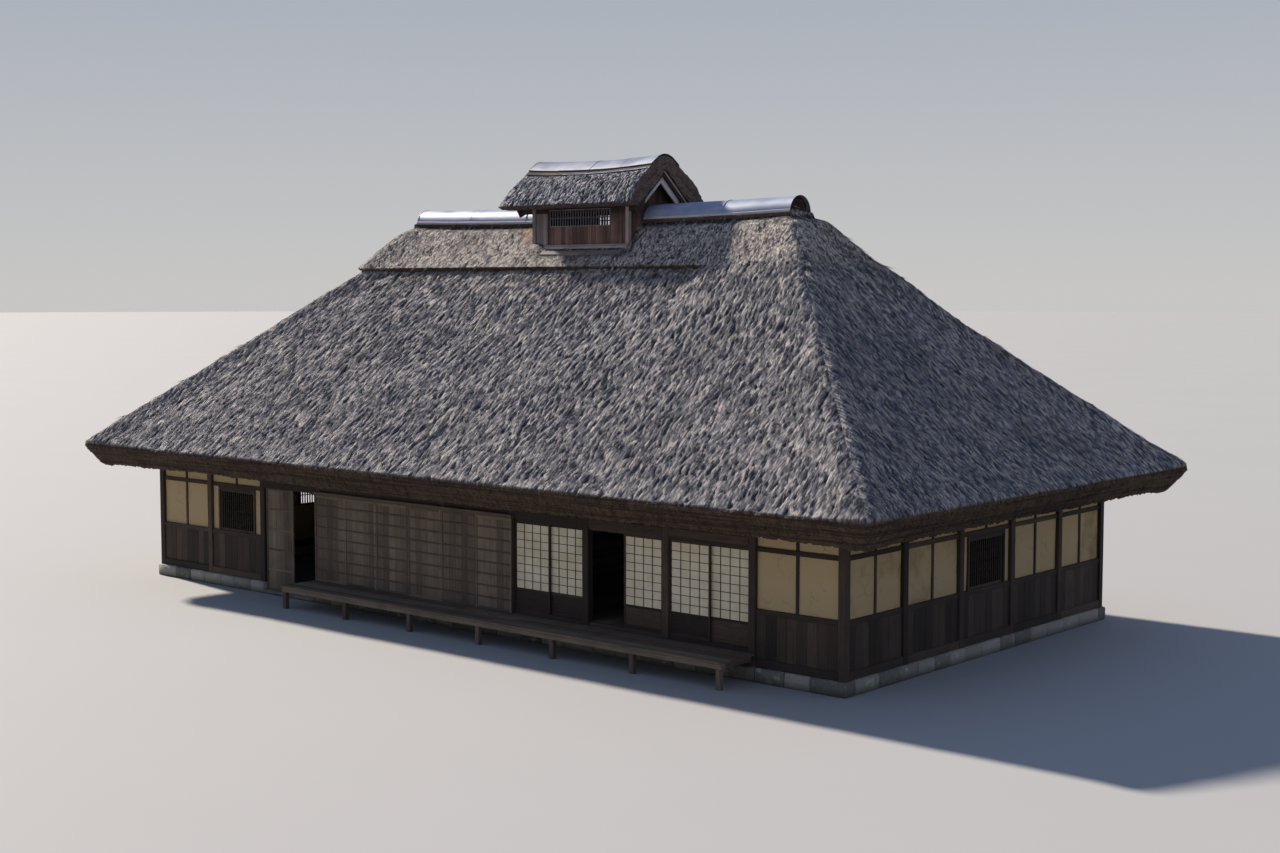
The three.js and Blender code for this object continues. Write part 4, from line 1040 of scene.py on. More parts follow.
def repeat_tree(name, **sockets):
    """A tree from geometry to geometry with named inputs, what adds its nodes, and those inputs."""
    tree = bpy.data.node_groups.new(name, "GeometryNodeTree")
    tree.interface.new_socket("Geometry", in_out="INPUT", socket_type="NodeSocketGeometry")
    tree.interface.new_socket("Geometry", in_out="OUTPUT", socket_type="NodeSocketGeometry")
    for label, kind in sockets.items():
        tree.interface.new_socket(label, in_out="INPUT", socket_type="NodeSocket" + kind)
    add = functools.partial(add_node, tree)
    return tree, add, add("NodeGroupInput").outputs


def repeat(piece, tree, used, **values):
    """Runs a tree on the piece with its named inputs, and makes the result plain."""
    made = piece.modifiers.new("repeat", "NODES")
    made.node_group = bpy.data.node_groups.get(tree.__name__) or tree()
    for item in made.node_group.interface.items_tree:
        if item.item_type == "SOCKET" and item.in_out == "INPUT" and item.name in values:
            made[item.identifier] = values[item.name]
    made_plain(piece, used)


def straw_tufts():
    """Tufts scattered over the faces that look up, laid down the slope."""
    tree, add, given = repeat_tree("straw_tufts", Tuft="Object", Density="Float", Down="Vector",
                                   Lowest="Float", Seed="Int", Finish="Material")
    slope = add("ShaderNodeSeparateXYZ", {0: add("GeometryNodeInputNormal")}).outputs["Z"]
    level = add("ShaderNodeSeparateXYZ", {0: add("GeometryNodeInputPosition")}).outputs["Z"]
    upward = add("FunctionNodeCompare", {0: slope, 1: 0.5}, operation="GREATER_THAN")
    above = add("FunctionNodeCompare", {0: level, 1: given["Lowest"]}, operation="GREATER_THAN")
    held = add("FunctionNodeBooleanMath", {0: upward, 1: above}, operation="AND")
    points = add("GeometryNodeDistributePointsOnFaces", {
        "Mesh": given["Geometry"], "Selection": held, "Density": given["Density"], "Seed": given["Seed"]})
    lie = add("FunctionNodeAlignRotationToVector", {
        "Rotation": points.outputs["Rotation"], "Vector": given["Down"]}, axis="Y", pivot_axis="Z")
    swing = add("FunctionNodeRandomValue",
                {0: (-0.02, 0.0, -0.35), 1: (0.06, 0.0, 0.35), "Seed": given["Seed"]},
                data_type="FLOAT_VECTOR")
    laid = add("FunctionNodeRotateRotation", {"Rotation": lie, "Rotate By": swing}, rotation_space="LOCAL")
    size = add("FunctionNodeRandomValue", {2: 0.6, 3: 1.25, "Seed": given["Seed"]}, data_type="FLOAT")
    copy = add("GeometryNodeObjectInfo", {"Object": given["Tuft"]})
    copies = add("GeometryNodeInstanceOnPoints", {
        "Points": points, "Instance": copy.outputs["Geometry"], "Rotation": laid, "Scale": size.outputs[1]})
    real = add("GeometryNodeRealizeInstances", {"Geometry": copies})
    done = add("GeometryNodeSetMaterial", {"Geometry": real, "Material": given["Finish"]})
    add("NodeGroupOutput", {"Geometry": done})
    return tree


def unit_tuft():
    """Three tapered bundles of straw that fan out from one root; drawn 16 mm thick so that they show."""
    stock = Stock()
    straws = ((-0.25, 0.20, 0.010, 0.35), (0.02, 0.27, 0.018, 0.95), (0.22, 0.18, 0.008, 0.65))
    for lean, length, lift, tone in straws:
        aim = np.array([math.sin(lean), math.cos(lean), 0.0])
        side = np.array([aim[1], -aim[0], 0.0])
        root = -0.03 * aim - (0, 0, 0.006)
        ring = [root + 0.008 * side, root + (0, 0, 0.011), root - 0.008 * side]
        points = ring + [aim * length + (0, 0, lift)]
        faces = [[1, 0, 3], [2, 1, 3], [0, 2, 3], [0, 1, 2]]
        uvs = [[(0.0, 0.0), (0.012, 0.0), (0.006, length)]] * 4
        stock.add(points, faces, uvs, (tone, 1.0, 0.0, 0.0))
    return stock.piece("tuft", "thatch")


def loose_straw():
    """Tufts over each coat, given the way down its slope and how many lie on a square metre."""
    places = (("front_thatch_coat_upper", (0, -0.67, -0.74), 8.0),
              ("front_thatch_coat_lower", (0, -0.67, -0.74), 40.0),
              ("rear_thatch_coat_upper", (0, 0.67, -0.74), 12.0),
              ("rear_thatch_coat_lower", (0, 0.67, -0.74), 12.0),
              ("right_thatch_coat", (0.67, 0, -0.74), 24.0),
              ("left_thatch_coat", (-0.67, 0, -0.74), 14.0))
    for seed, (host, down, density) in enumerate(places):
        piece = bpy.data.objects.new(host + "_tufts", bpy.data.objects[host].data.copy())
        bpy.context.scene.collection.objects.link(piece)
        unit = unit_tuft()
        repeat(piece, straw_tufts, unit, Tuft=unit, Density=density, Down=down, Lowest=EAVE[1] + 0.15,
               Seed=seed, Finish=FINISHES["thatch"])
        wear(piece, "thatch")


# Vent walls


def vent_timbers():
    """Corner posts, beams, the thin post by the lattice, and purlins that carry the gable thatch."""
    draw = np.random.default_rng(8)
    posts, beams = Stock(draw), Stock(draw)
    post = 0.09
    thin_post_x = (-0.740, -0.690)
    foot = rafter_z(VENT_HALF - post)
    for side in (-1, 1):
        near, far = sorted((side * (VENT_HALF - post), side * VENT_HALF))
        for x0 in (VENT_X0, VENT_X1 - post):
            board(posts, (x0, near, foot), (x0 + post, far, VENT_HEAD_TOP), 2, 0.006, 0.001)
        y0, y1 = sorted((side * (VENT_HALF - 0.029), side * VENT_HALF))
        board(posts, (thin_post_x[0], y0, foot + post), (thin_post_x[1], y1, VENT_HEAD_Z), 2, 0.004, 0.001)
        y0, y1 = sorted((side * (VENT_HALF - post), side * 0.760))
        board(beams, (VENT_X0 + post, y0, VENT_HEAD_Z), (VENT_X1 - post, y1, VENT_PLATE_TOP),
              0, 0.006, 0.001)
        board(beams, (VENT_X0 + post, near, foot), (VENT_X1 - post, far, foot + post), 0, 0.006)
        for x0, x1 in ((VENT_ROOF_X0 + 0.10, VENT_X0), (VENT_X1, VENT_ROOF_X1 - 0.10)):
            inner, outer = sorted((side * (VENT_HALF - 0.01), side * (VENT_HALF - 0.08)))
            board(beams, (x0, inner, VENT_HEAD_Z), (x1, outer, VENT_PLATE_TOP), 0, 0.006)
    for x0 in (VENT_X0 + 0.05, VENT_X1 - post):
        board(beams, (x0, -VENT_HALF + post, VENT_HEAD_Z),
              (x0 + 0.04, VENT_HALF - post, VENT_HEAD_TOP), 1, 0.004)
    wear(posts.piece("vent_posts", "weathered_board"), "weathered_board", "vent_frame")
    wear(beams.piece("vent_beams", "vent_board"), "weathered_board")


PLANK_GAP = 0.0018  # half the gap between two boards of the vent


def vent_walls():
    """Upright boards round the window, and the gables; at the left corner the boards are grey and paler,
    partly their own weathered grey and partly a painted pool of light where light reaches in under the
    gable.
    """
    draw = np.random.default_rng(9)
    (x0, _, foot), (x1, _, head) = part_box("vent_front_boards")
    w0, w1, sill = *VENT_WINDOW_X, VENT_WINDOW_Z[0] + 0.006
    for name, side in (("front", -1), ("rear", 1)):
        grey, red = Stock(draw), Stock(draw)
        cuts = [x0, x0 + 0.105, x0 + 0.205, x0 + 0.315, w0]
        cuts += list(np.linspace(w0, w1, 17)[1:])
        cuts += list(np.linspace(w1, x1, 5)[1:])
        for a, b in zip(cuts, cuts[1:]):
            top = sill if a > w0 - 0.01 and b < w1 + 0.01 else head
            shift = draw.uniform(-0.004, 0.004)
            near, far = sorted((side * 0.770 + shift, side * 0.744 + shift))
            # The left corner's boards take the paler grey finish: partly their own grey, partly a painted
            # pool of light there, out of the eave's painted shade.
            stock = grey if b < x0 + 0.32 else red
            board(stock, (a + PLANK_GAP, near, foot), (b - PLANK_GAP, far, top), 2, 0.003, 0.0012, 0.35)
        wear(red.piece(f"vent_{name}_wall_boards", "vent_board"), "vent_board", f"vent_{name}_boards")
        wear(grey.piece(f"vent_{name}_side_boards", "weathered_board"), "weathered_board")
    for name in ("left", "right"):
        stock = Stock(draw)
        low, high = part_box(f"vent_{name}_wall")
        edges = np.linspace(low.y, high.y, 14)
        for a, b in zip(edges, edges[1:]):
            a, b = a + PLANK_GAP, b - PLANK_GAP
            tops = [VENT_APEX_Z - 0.018 - abs(y) * VENT_FALL for y in (b, a)]
            outline = [(a, rafter_z(abs(a)) + 0.002), (b, rafter_z(abs(b)) + 0.002), (b, tops[0]),
                       (a, tops[1])]
            shift = draw.uniform(-0.002, 0.002)
            prism(stock, outline, 0, low.x + shift, high.x + shift, (0, 0, 1))
        wear(stock.piece(f"vent_{name}_gable_boards", "vent_board"), "vent_board", f"vent_{name}_wall")


def vent_bargeboards():
    """Under each gable's thatch a thin verge pole, a smoked board, and a bleached one behind it."""
    draw = np.random.default_rng(10)

    def under(y, drop):
        return y, VENT_APEX_Z - drop - y * VENT_FALL

    smoked = [under(0.0015, 0.002), (VENT_UNDER_OUT - 0.001, VENT_HEAD_TOP), (0.780, 8.120), (0.620, 8.190),
              under(0.560, 0.125), under(0.0015, 0.125)][::-1]
    bleached = [under(0.0015, 0.108), under(0.740, 0.108), under(0.660, 0.262), under(0.0015, 0.262)][::-1]
    for name, outward in (("left", -1), ("right", 1)):
        dark, pale = Stock(draw), Stock(draw)
        node = f"vent_{name}_bargeboards"
        low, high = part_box(node)
        face = high.x if outward > 0 else low.x
        back = sorted((face - outward * 0.062, face - outward * 0.098))
        for side in (-1, 1):
            for stock, outline, (x0, x1) in ((dark, smoked, (low.x, high.x)), (pale, bleached, back)):
                prism(stock, on_side(outline, side), 0, x0, x1, (0, side * 0.752, -0.659))
            line = np.array([(face + outward * 0.014, side * under(y, 0)[0], under(y, 0.024)[1])
                             for y in (0.004, 0.28, 0.56, 0.84)])
            pole(pale, line, 0.015)
        wear(dark.piece(f"vent_{name}_barge_boards", "dark_timber"), "dark_timber", node)
        wear(pale.piece(f"vent_{name}_verge_timbers", "bleached_board"), "weathered_board")


def pole(stock, line, radius, sides=8):
    """A round pole or log along a few points."""
    line = np.asarray(line, float)
    tangent = np.gradient(line, axis=0)
    tangent /= np.linalg.norm(tangent, axis=1, keepdims=True)
    up = np.array([0.0, 0.0, 1.0]) if abs(tangent[0, 2]) < 0.9 else np.array([1.0, 0.0, 0.0])
    side = np.cross(tangent, up)
    side /= np.linalg.norm(side, axis=1, keepdims=True)
    over = np.cross(side, tangent)
    angle = np.linspace(0, 2 * math.pi, sides, endpoint=False)
    girth = radius * (1 + stock.draw.uniform(-0.06, 0.06, (len(line), sides)))
    rings = (line[:, None] + girth[..., None] * (np.cos(angle)[None, :, None] * side[:, None]
                                                 - np.sin(angle)[None, :, None] * over[:, None]))
    loft(stock, rings, stock.draw.uniform(), stock.draw.uniform(0, 40))


def vent_sills():
    """Bleached boards along the foot of the vent walls: one upright, and two that lie on the thatch."""
    draw = np.random.default_rng(12)
    fall = (CAP_SEAT_Z - LIP[1]) / (LIP[0] - SEAT_OUT)

    def lie(out):
        """Height of the thatch beside the vent."""
        dip = RIDGE_SAG * 0.95 * (LIP[0] - out) / (LIP[0] - SEAT_OUT)
        return CAP_SEAT_Z - fall * (out - SEAT_OUT) - dip

    for name, side in (("front", -1), ("rear", 1)):
        stock = Stock(draw)
        x0 = -0.745 if side < 0 else VENT_X0
        y0, y1 = sorted((side * VENT_HALF, side * (VENT_HALF + 0.020)))
        top = lie(VENT_HALF) - VENT_FOOT_SUNK + 0.020
        board(stock, (x0, y0, top - 0.07), (VENT_X1 + 0.01, y1, top), 0, 0.004, 0.0015)
        for near, far, rise, short in ((0.821, 0.850, 0.020, 0.0), (0.930, 1.000, 0.020, 0.05)):
            outline = [(near, lie(near) - 0.02), (far, lie(far) - 0.02), (far + 0.006, lie(far) + rise),
                       (near, lie(near) + rise)]
            outline = on_side([(y, z - VENT_FOOT_SUNK) for y, z in outline], side)
            prism(stock, outline, 0, x0 + 0.01, VENT_X1 - 0.01 - short, (1, 0, 0))
        wear(stock.piece(f"vent_{name}_sill_boards", "weathered_board"), "weathered_board",
             f"vent_{name}_apron")


# Lattices


def row_of_copies():
    """Copies of a piece in a straight row, joined to what the object already has."""
    tree, add, given = repeat_tree("row_of_copies", Copy="Object", Count="Int", Start="Vector",
                                   Step="Vector", Wobble="Float", Finish="Material")
    line = add("GeometryNodeMeshLine", {
        "Count": given["Count"], "Start Location": given["Start"], "Offset": given["Step"]}, mode="OFFSET")
    copy = add("GeometryNodeObjectInfo", {"Object": given["Copy"]})
    swing = add("FunctionNodeRandomValue", {0: (-1.0, -1.0, -1.0), 1: (1.0, 1.0, 1.0), "Seed": 4},
                data_type="FLOAT_VECTOR")
    turn = add("ShaderNodeVectorMath", {0: swing.outputs[0], "Scale": given["Wobble"]}, operation="SCALE")
    copies = add("GeometryNodeInstanceOnPoints", {
        "Points": line, "Instance": copy.outputs["Geometry"], "Rotation": turn})
    real = add("GeometryNodeRealizeInstances", {"Geometry": copies})
    both = add("GeometryNodeJoinGeometry")
    for part in (given["Geometry"], real.outputs["Geometry"]):
        tree.links.new(part, both.inputs["Geometry"])
    done = add("GeometryNodeSetMaterial", {"Geometry": both, "Material": given["Finish"]})
    add("NodeGroupOutput", {"Geometry": done})
    return tree


def add_row(piece, unit, count, start, step, finish, wobble=0.0):
    """Sets a row of copies of the unit into the piece; wobble turns each by up to so many radians."""
    repeat(piece, row_of_copies, unit, Copy=unit, Count=count, Start=start, Step=step, Wobble=wobble,
           Finish=FINISHES[finish])


def unit_board(size, grain, finish, ease=0.002):
    """A small bar round the origin, to be set in rows."""
    stock = Stock(3)
    half = [s / 2 for s in size]
    board(stock, [-h for h in half], half, grain, ease, 0.0, 9.0)
    return stock.piece("bar", finish)


def lattice(name, node, slot, finish, bars, rails, width, rim=0.040, place=None):
    """A framed lattice in the place of its node: upright bars in front of thin rails."""
    low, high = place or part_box(node)
    across = 0 if high.x - low.x > high.y - low.y else 1
    depth = 1 - across
    outside = math.copysign(1.0, low[depth] + high[depth])
    front, back = (high[depth], low[depth]) if outside > 0 else (low[depth], high[depth])
    span = high[across] - low[across]
    tall = high.z - low.z

    def at(u0, u1, d0, d1, z0, z1):
        lo, hi = [0, 0, z0], [0, 0, z1]
        lo[across], hi[across] = low[across] + u0, low[across] + u1
        lo[depth], hi[depth] = sorted((front - outside * d0, front - outside * d1))
        return lo, hi

    thick = abs(front - back)
    stock = Stock(14)
    board(stock, *at(0, span, 0, thick, low.z, low.z + rim), across, 0.004)
    board(stock, *at(0, span, 0, thick, high.z - rim, high.z), across, 0.004)
    for u in (0, span - rim):
        board(stock, *at(u, u + rim, 0.001, thick, low.z + rim, high.z - rim), 2, 0.004)
    piece = stock.piece(name, finish)
    size = [0, 0, tall - 2 * rim + 0.01]
    size[across], size[depth] = width, thick * 0.45
    gap = (span - 2 * rim) / (bars + 1)
    start = [0, 0, (low.z + high.z) / 2]
    start[across] = low[across] + rim + gap
    start[depth] = front - outside * (0.002 + thick * 0.225)
    step = [0, 0, 0]
    step[across] = gap
    add_row(piece, unit_board(size, 2, finish), bars, start, step, finish, 0.006)
    size = [0, 0, width]
    size[across], size[depth] = span - 2 * rim + 0.01, thick * 0.35
    rise = (tall - 2 * rim) / (rails + 1)
    start = [0, 0, low.z + rim + rise]
    start[across] = (low[across] + high[across]) / 2
    start[depth] = front - outside * (thick * 0.70)
    add_row(piece, unit_board(size, across, finish), rails, start, (0, 0, rise), finish)
    wear(piece, slot, node)


def vent_windows():
    """A window of bars in the front and in the rear wall."""
    for name, y0, y1 in (("front", -0.792, -0.764), ("rear", 0.764, 0.792)):
        place = [Vector((x, y, z)) for x, y, z in zip(VENT_WINDOW_X, (y0, y1), VENT_WINDOW_Z)]
        lattice(f"vent_{name}_window_bars", f"vent_{name}_lattice", "weathered_board", "sooted_bar",
                22, 1, 0.026, 0.018, place)


# House body


BAY = 2 * WALL_X / 10
SIDE_BAY = 2 * WALL_Y / 5
POST = 0.150
SILL_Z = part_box("front_left_wall")[0].z
FOOTING_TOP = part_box("foundation")[1].z
LINTEL_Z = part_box("entrance_lintel")[0].z
LINTEL_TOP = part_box("entrance_lintel")[1].z
FLOOR_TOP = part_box("raised_floor")[1].z
DECK_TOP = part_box("veranda")[1].z
DADO_TOP = 1.150  # the boards at the foot of the walls end here, under a rail
DADO_RAIL_TOP = DADO_TOP + 0.095
HEAD_RAIL = (2.215, 2.300)
WINDOW_Z = (1.248, 2.152)
WINDOW_HALF = 0.600
WINDOW_BAYS = {(0, 1), (2, 6), (1, 2), (3, 2)}  # as (side, bay)
PANEL_IN = 0.060  # the plaster's face, in from the posts' faces
SCREEN_RAIL = (0.930, 0.975)


def bay_line(k):
    """Where bay k of the front begins."""
    return -WALL_X + k * BAY


class Wall:
    """A side of the house in its own frame: u runs along the wall, d goes in from the outer faces.
    Quarters 0 and 2, the front and the rear, are its long sides."""

    def __init__(self, quarter):
        self.quarter = quarter
        self.long = quarter in (0, 2)
        self.face = WALL_Y if self.long else WALL_X
        self.half = WALL_X if self.long else WALL_Y - POST
        self.bays = 10 if self.long else 5

    def line(self, k):
        """Where bay k begins."""
        return -WALL_X + k * BAY if self.long else -WALL_Y + k * SIDE_BAY

    def corners(self, low, high):
        """The low and the high corner, in the frame's own axes, of a box given as two points (u, d, z)."""
        ends = self.place([low, high])
        return ends.min(axis=0), ends.max(axis=0)

    def place(self, points):
        """Points (u, d, z) of this wall, in the frame's own axes."""
        points = np.array(points, float)
        points[..., 1] -= self.face
        return turned(points, self.quarter)

    def board(self, stock, low, high, grain, ease=0.004, warp=0.0, step=0.6):
        """A board between two points (u, d, z); grain 0 runs along the wall, and 2 upright."""
        low, high = self.corners(low, high)
        board(stock, low, high, grain if grain == 2 or self.long else 1 - grain, ease, warp, step)


def stone_row(stock, wall, u0, u1, z0, z1, width):
    """Dressed blocks of uneven length with rounded arrises."""
    draw = stock.draw
    at = u0
    while at < u1 - 0.05:
        end = at + draw.uniform(0.45, 0.72)
        end = u1 if u1 - end < 0.35 else end
        low, high = wall.corners((at + 0.003, 0.0, z0), (end - 0.003, width, z1))
        grain = 0 if wall.long else 1
        rings = box_rings(low, high, grain, 0.022, 6)
        length = high[grain] - low[grain]
        rings[:, :, grain] = low[grain] + np.array([0.0, 0.018, 0.35, 0.65, 1.0, 1.0])[:, None] * length
        rings[1, :, grain] = low[grain] + 0.020
        rings[4, :, grain] = high[grain] - 0.020
        middle = (np.asarray(low) + np.asarray(high)) / 2
        for axis in {0, 1, 2} - {grain}:
            rings[[0, -1], :, axis] = middle[axis] + 0.90 * (rings[[0, -1], :, axis] - middle[axis])
        rings += draw.uniform(-0.004, 0.002, rings.shape)
        rings[:, :, 2] = np.maximum(rings[:, :, 2], z0)
        loft(stock, rings, draw.uniform(), draw.uniform(0, 30))
        at = end


def footing():
    """Stones round the house, 50 mm proud of the walls, with the threshold let in at the entrance."""
    stock = Stock(21)
    low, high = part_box("foundation")
    width = 0.30
    front, right, rear, left = (Wall(q) for q in range(4))
    for wall in (front, right, rear, left):
        wall.face += 0.05
    stone_row(stock, rear, low.x, high.x, 0.0, FOOTING_TOP, width)
    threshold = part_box("entrance_threshold")
    stone_row(stock, front, low.x, threshold[0].x - 0.001, 0.0, FOOTING_TOP, width)
    stone_row(stock, front, threshold[1].x + 0.001, high.x, 0.0, FOOTING_TOP, width)
    for wall in (right, left):
        stone_row(stock, wall, low.y + width, high.y - width, 0.0, FOOTING_TOP, width)
    stone_row(stock, front, threshold[0].x, threshold[1].x, 0.0, threshold[1].z, width)
    piece = stock.piece("footing_stones", "stone", sharp=50)
    wear(piece, "footing_stone", "foundation", "entrance_threshold")


def frame_timbers():
    """Posts, sills, plates, lintels and wall rails of the four sides."""
    names = {0: ("front", ("front_left_frame", "front_right_frame", "front_plate", "entrance_lintel")),
             1: ("right", ("right_frame",)), 2: ("rear", ("rear_frame", "rear_plate")),
             3: ("left", ("left_frame",))}
    on_footing = FOOTING_TOP + 0.0005
    for quarter, (name, nodes) in names.items():
        wall = Wall(quarter)
        stock = Stock(30 + quarter)
        centres = []
        for k in range(0 if wall.long else 1, wall.bays + (1 if wall.long else 0)):
            centre = min(max(wall.line(k), -WALL_X + POST / 2), WALL_X - POST / 2)
            u0, u1 = centre - POST / 2, centre + POST / 2
            wall.board(stock, (u0, 0, on_footing), (u1, POST, PLATE_Z), 2, 0.012, 0.0015)
            centres.append(centre)
        ends = centres if wall.long else [-wall.half - POST / 2] + centres + [wall.half + POST / 2]
        wall.board(stock, (-wall.half, -0.004, PLATE_Z), (wall.half, POST - 0.002, PLATE_TOP), 0,
                   0.014, 0.0015)
        for k, (a, b) in enumerate(zip(ends, ends[1:])):
            u0, u1 = a + POST / 2, b - POST / 2
            if not (quarter == 0 and k == 2):
                wall.board(stock, (u0, 0.004, on_footing), (u1, POST - 0.004, SILL_Z), 0, 0.010, 0.001)
            mid = (u0 + u1) / 2
            if quarter == 0 and 2 <= k <= 8:
                wall.board(stock, (u0, 0.003, LINTEL_Z), (u1, POST - 0.003, LINTEL_TOP), 0, 0.008, 0.001)
                wall.board(stock, (mid - 0.035, 0.035, LINTEL_TOP), (mid + 0.035, 0.110, PLATE_Z), 2, 0.006)
                continue
            wall.board(stock, (u0, 0.024, DADO_TOP), (u1, PANEL_IN + 0.05, DADO_RAIL_TOP), 0, 0.006, 0.001)
            wall.board(stock, (u0, 0.034, HEAD_RAIL[0]), (u1, PANEL_IN + 0.05, HEAD_RAIL[1]),
                       0, 0.006, 0.001)
            w0, w1 = mid - WINDOW_HALF, mid + WINDOW_HALF
            near, far = (mid - 0.030, 0.040), (mid + 0.030, PANEL_IN + 0.02)
            if (quarter, k) in WINDOW_BAYS:
                for u in (w0 - 0.055, w1):
                    wall.board(stock, (u, 0.030, DADO_RAIL_TOP), (u + 0.055, 0.122, HEAD_RAIL[0]), 2, 0.005)
                wall.board(stock, (w0, 0.034, WINDOW_Z[1] - 0.002), (w1, 0.120, HEAD_RAIL[0]), 0, 0.004)
            else:
                wall.board(stock, (*near, DADO_RAIL_TOP), (*far, HEAD_RAIL[0]), 2, 0.005)
            wall.board(stock, (*near, HEAD_RAIL[1]), (*far, PLATE_Z), 2, 0.005)
            boards = 8
            for i in range(boards):
                a0 = u0 + (u1 - u0) * i / boards
                a1 = a0 + (u1 - u0) / boards
                shift = stock.draw.uniform(-0.002, 0.002)
                wall.board(stock, (a0 + 0.002, 0.036 + shift, SILL_Z),
                           (a1 - 0.002, 0.058 + shift, DADO_TOP), 2, 0.003, 0.001)
        wear(stock.piece(f"{name}_frame_timbers", "dark_timber"), "dark_timber", *nodes)


def plaster_panel(stock, wall, u0, u1, z0, z1):
    """A hand-floated panel, slightly uneven, that dips towards its edges."""
    columns, rows = max(3, int((u1 - u0) / 0.09)), max(3, int((z1 - z0) / 0.09))
    u = np.linspace(u0, u1, columns)[None, :] + np.zeros((rows, 1))
    z = np.linspace(z0, z1, rows)[:, None] + np.zeros((1, columns))
    seed = int(stock.draw.integers(1, 900))
    edge = np.minimum(np.minimum(u - u0, u1 - u), np.minimum(z - z0, z1 - z))
    wave = 0.004 * value_noise(u / 0.35, z / 0.35, seed) + 0.0015 * value_noise(u / 0.1, z / 0.1, seed + 1)
    front = np.stack([u, PANEL_IN + 0.004 + wave + 0.006 * (1 - smooth(edge / 0.06)), z], axis=-1)
    back = np.stack([u, 0.116 - wave * 0.5, z], axis=-1)
    tones = np.full((rows * columns, 4), (stock.draw.uniform(), 1.0, 0.0, 0.0))
    faces = grid_faces(rows, columns, wrap=False)
    start = stock.count
    stock.add(wall.place(front), faces, corner_uvs(faces, u, z), tones)
    stock.add(wall.place(back), faces[:, ::-1], corner_uvs(faces[:, ::-1], u, z), tones)
    rim = np.concatenate([np.arange(columns), np.arange(1, rows) * columns + columns - 1,
                          (rows - 1) * columns + np.arange(columns - 2, -1, -1),
                          np.arange(rows - 2, 0, -1) * columns])
    after = np.roll(rim, -1)
    sides = np.stack([rim, rim + rows * columns, after + rows * columns, after], axis=-1)
    stock.add_faces(sides, np.zeros((len(sides), 4, 2)), start)


def plaster_walls():
    """Panels between the posts, parted by the short studs over the lintel and round each window."""
    clear = 0.002
    nodes = {0: [("front_left_wall", 0, 2), ("front_upper_wall", 2, 9), ("front_right_wall", 9, 10)],
             1: [("right_wall", 0, 5)], 2: [("rear_wall", 0, 10)], 3: [("left_wall", 0, 5)]}
    top = PLATE_Z - clear
    for quarter, groups in nodes.items():
        wall = Wall(quarter)
        for node, first, past in groups:
            stock = Stock(50 + quarter * 10 + first)
            for k in range(first, past):
                low = -WALL_X + POST / 2 if wall.long else -WALL_Y + POST / 2
                u0 = max(wall.line(k), low) + POST / 2 + clear
                u1 = min(wall.line(k + 1), -low) - POST / 2 - clear
                mid = (u0 + u1) / 2
                w0, w1 = mid - WINDOW_HALF - clear, mid + WINDOW_HALF + clear
                if node == "front_upper_wall":
                    panels = [(u0, mid - 0.035, LINTEL_TOP + clear, top),
                              (mid + 0.035, u1, LINTEL_TOP + clear, top)]
                elif (quarter, k) in WINDOW_BAYS:
                    panels = [(u0, u1, SILL_Z + clear, WINDOW_Z[0]), (u0, w0, *WINDOW_Z),
                              (w1, u1, *WINDOW_Z), (u0, u1, WINDOW_Z[1], top)]
                else:
                    panels = [(u0, u1, SILL_Z + clear, top)]
                for panel in panels:
                    plaster_panel(stock, wall, *panel)
            wear(stock.piece(f"{node}_plaster", "clay_plaster", sharp=40), "clay_plaster", node)


def windows():
    """A lattice in each of the four window bays."""
    for side in ("front", "rear", "left", "right"):
        lattice(f"{side}_window_bars", f"{side}_window_lattice", "dark_timber", "dark_timber", 14, 3, 0.026)


def plank_panel(stock, wall, u0, u1, z0, z1, depth, boards, rails):
    """A framed leaf: stiles, rails and upright boards set back between them. depth is (front, back)."""
    near, far = depth
    stile = 0.045
    for u in (u0, u1 - stile):
        wall.board(stock, (u, near, z0), (u + stile, far, z1), 2, 0.003)
    for z in np.linspace(z0, z1 - stile, rails):
        wall.board(stock, (u0 + stile, near + 0.002, z), (u1 - stile, far - 0.002, z + stile), 0, 0.003)
    edges = np.linspace(u0 + stile, u1 - stile, boards + 1)
    for a, b in zip(edges, edges[1:]):
        wall.board(stock, (a + 0.001, near + 0.012 + stock.draw.uniform(0, 0.002), z0 + stile * 0.5),
                   (b - 0.001, far - 0.004, z1 - stile * 0.5), 2, 0.0015)


def door_and_shutters():
    """The door leaf with its pull, and six shutters under their rail, braced by a row of ribs."""
    front = Wall(0)
    draw = np.random.default_rng(61)
    low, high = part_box("entrance_door")
    stock = Stock(draw)
    depth = (WALL_Y + low.y, WALL_Y + high.y)
    plank_panel(stock, front, low.x, high.x, low.z, high.z, depth, 6, 6)
    near = depth[0]
    front.board(stock, (high.x - 0.075, near - 0.010, 0.95), (high.x - 0.052, near + 0.002, 1.22), 2, 0.004)
    wear(stock.piece("entrance_door_leaf", "plank"), "plank", "entrance_door")

    low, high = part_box("rain_shutters")
    stock = Stock(draw)
    head, panels = LINTEL_Z - 0.02, 6
    front.board(stock, (low.x, -0.060, head), (high.x, 0.0, high.z), 0, 0.005, 0.001)
    edges = np.linspace(low.x + 0.02, high.x - 0.02, panels + 1)
    for a, b in zip(edges, edges[1:]):
        plank_panel(stock, front, a + 0.002, b - 0.002, DECK_TOP + 0.002, head, (-0.048, -0.014), 5, 2)
    piece = stock.piece("rain_shutter_panels", "plank")
    rib = unit_board((high.x - low.x - 0.05, 0.016, 0.032), 0, "plank")
    add_row(piece, rib, 7, ((low.x + high.x) / 2, -WALL_Y - 0.042, DECK_TOP + 0.24), (0, 0, 0.225), "plank")
    wear(piece, "plank", "rain_shutters")


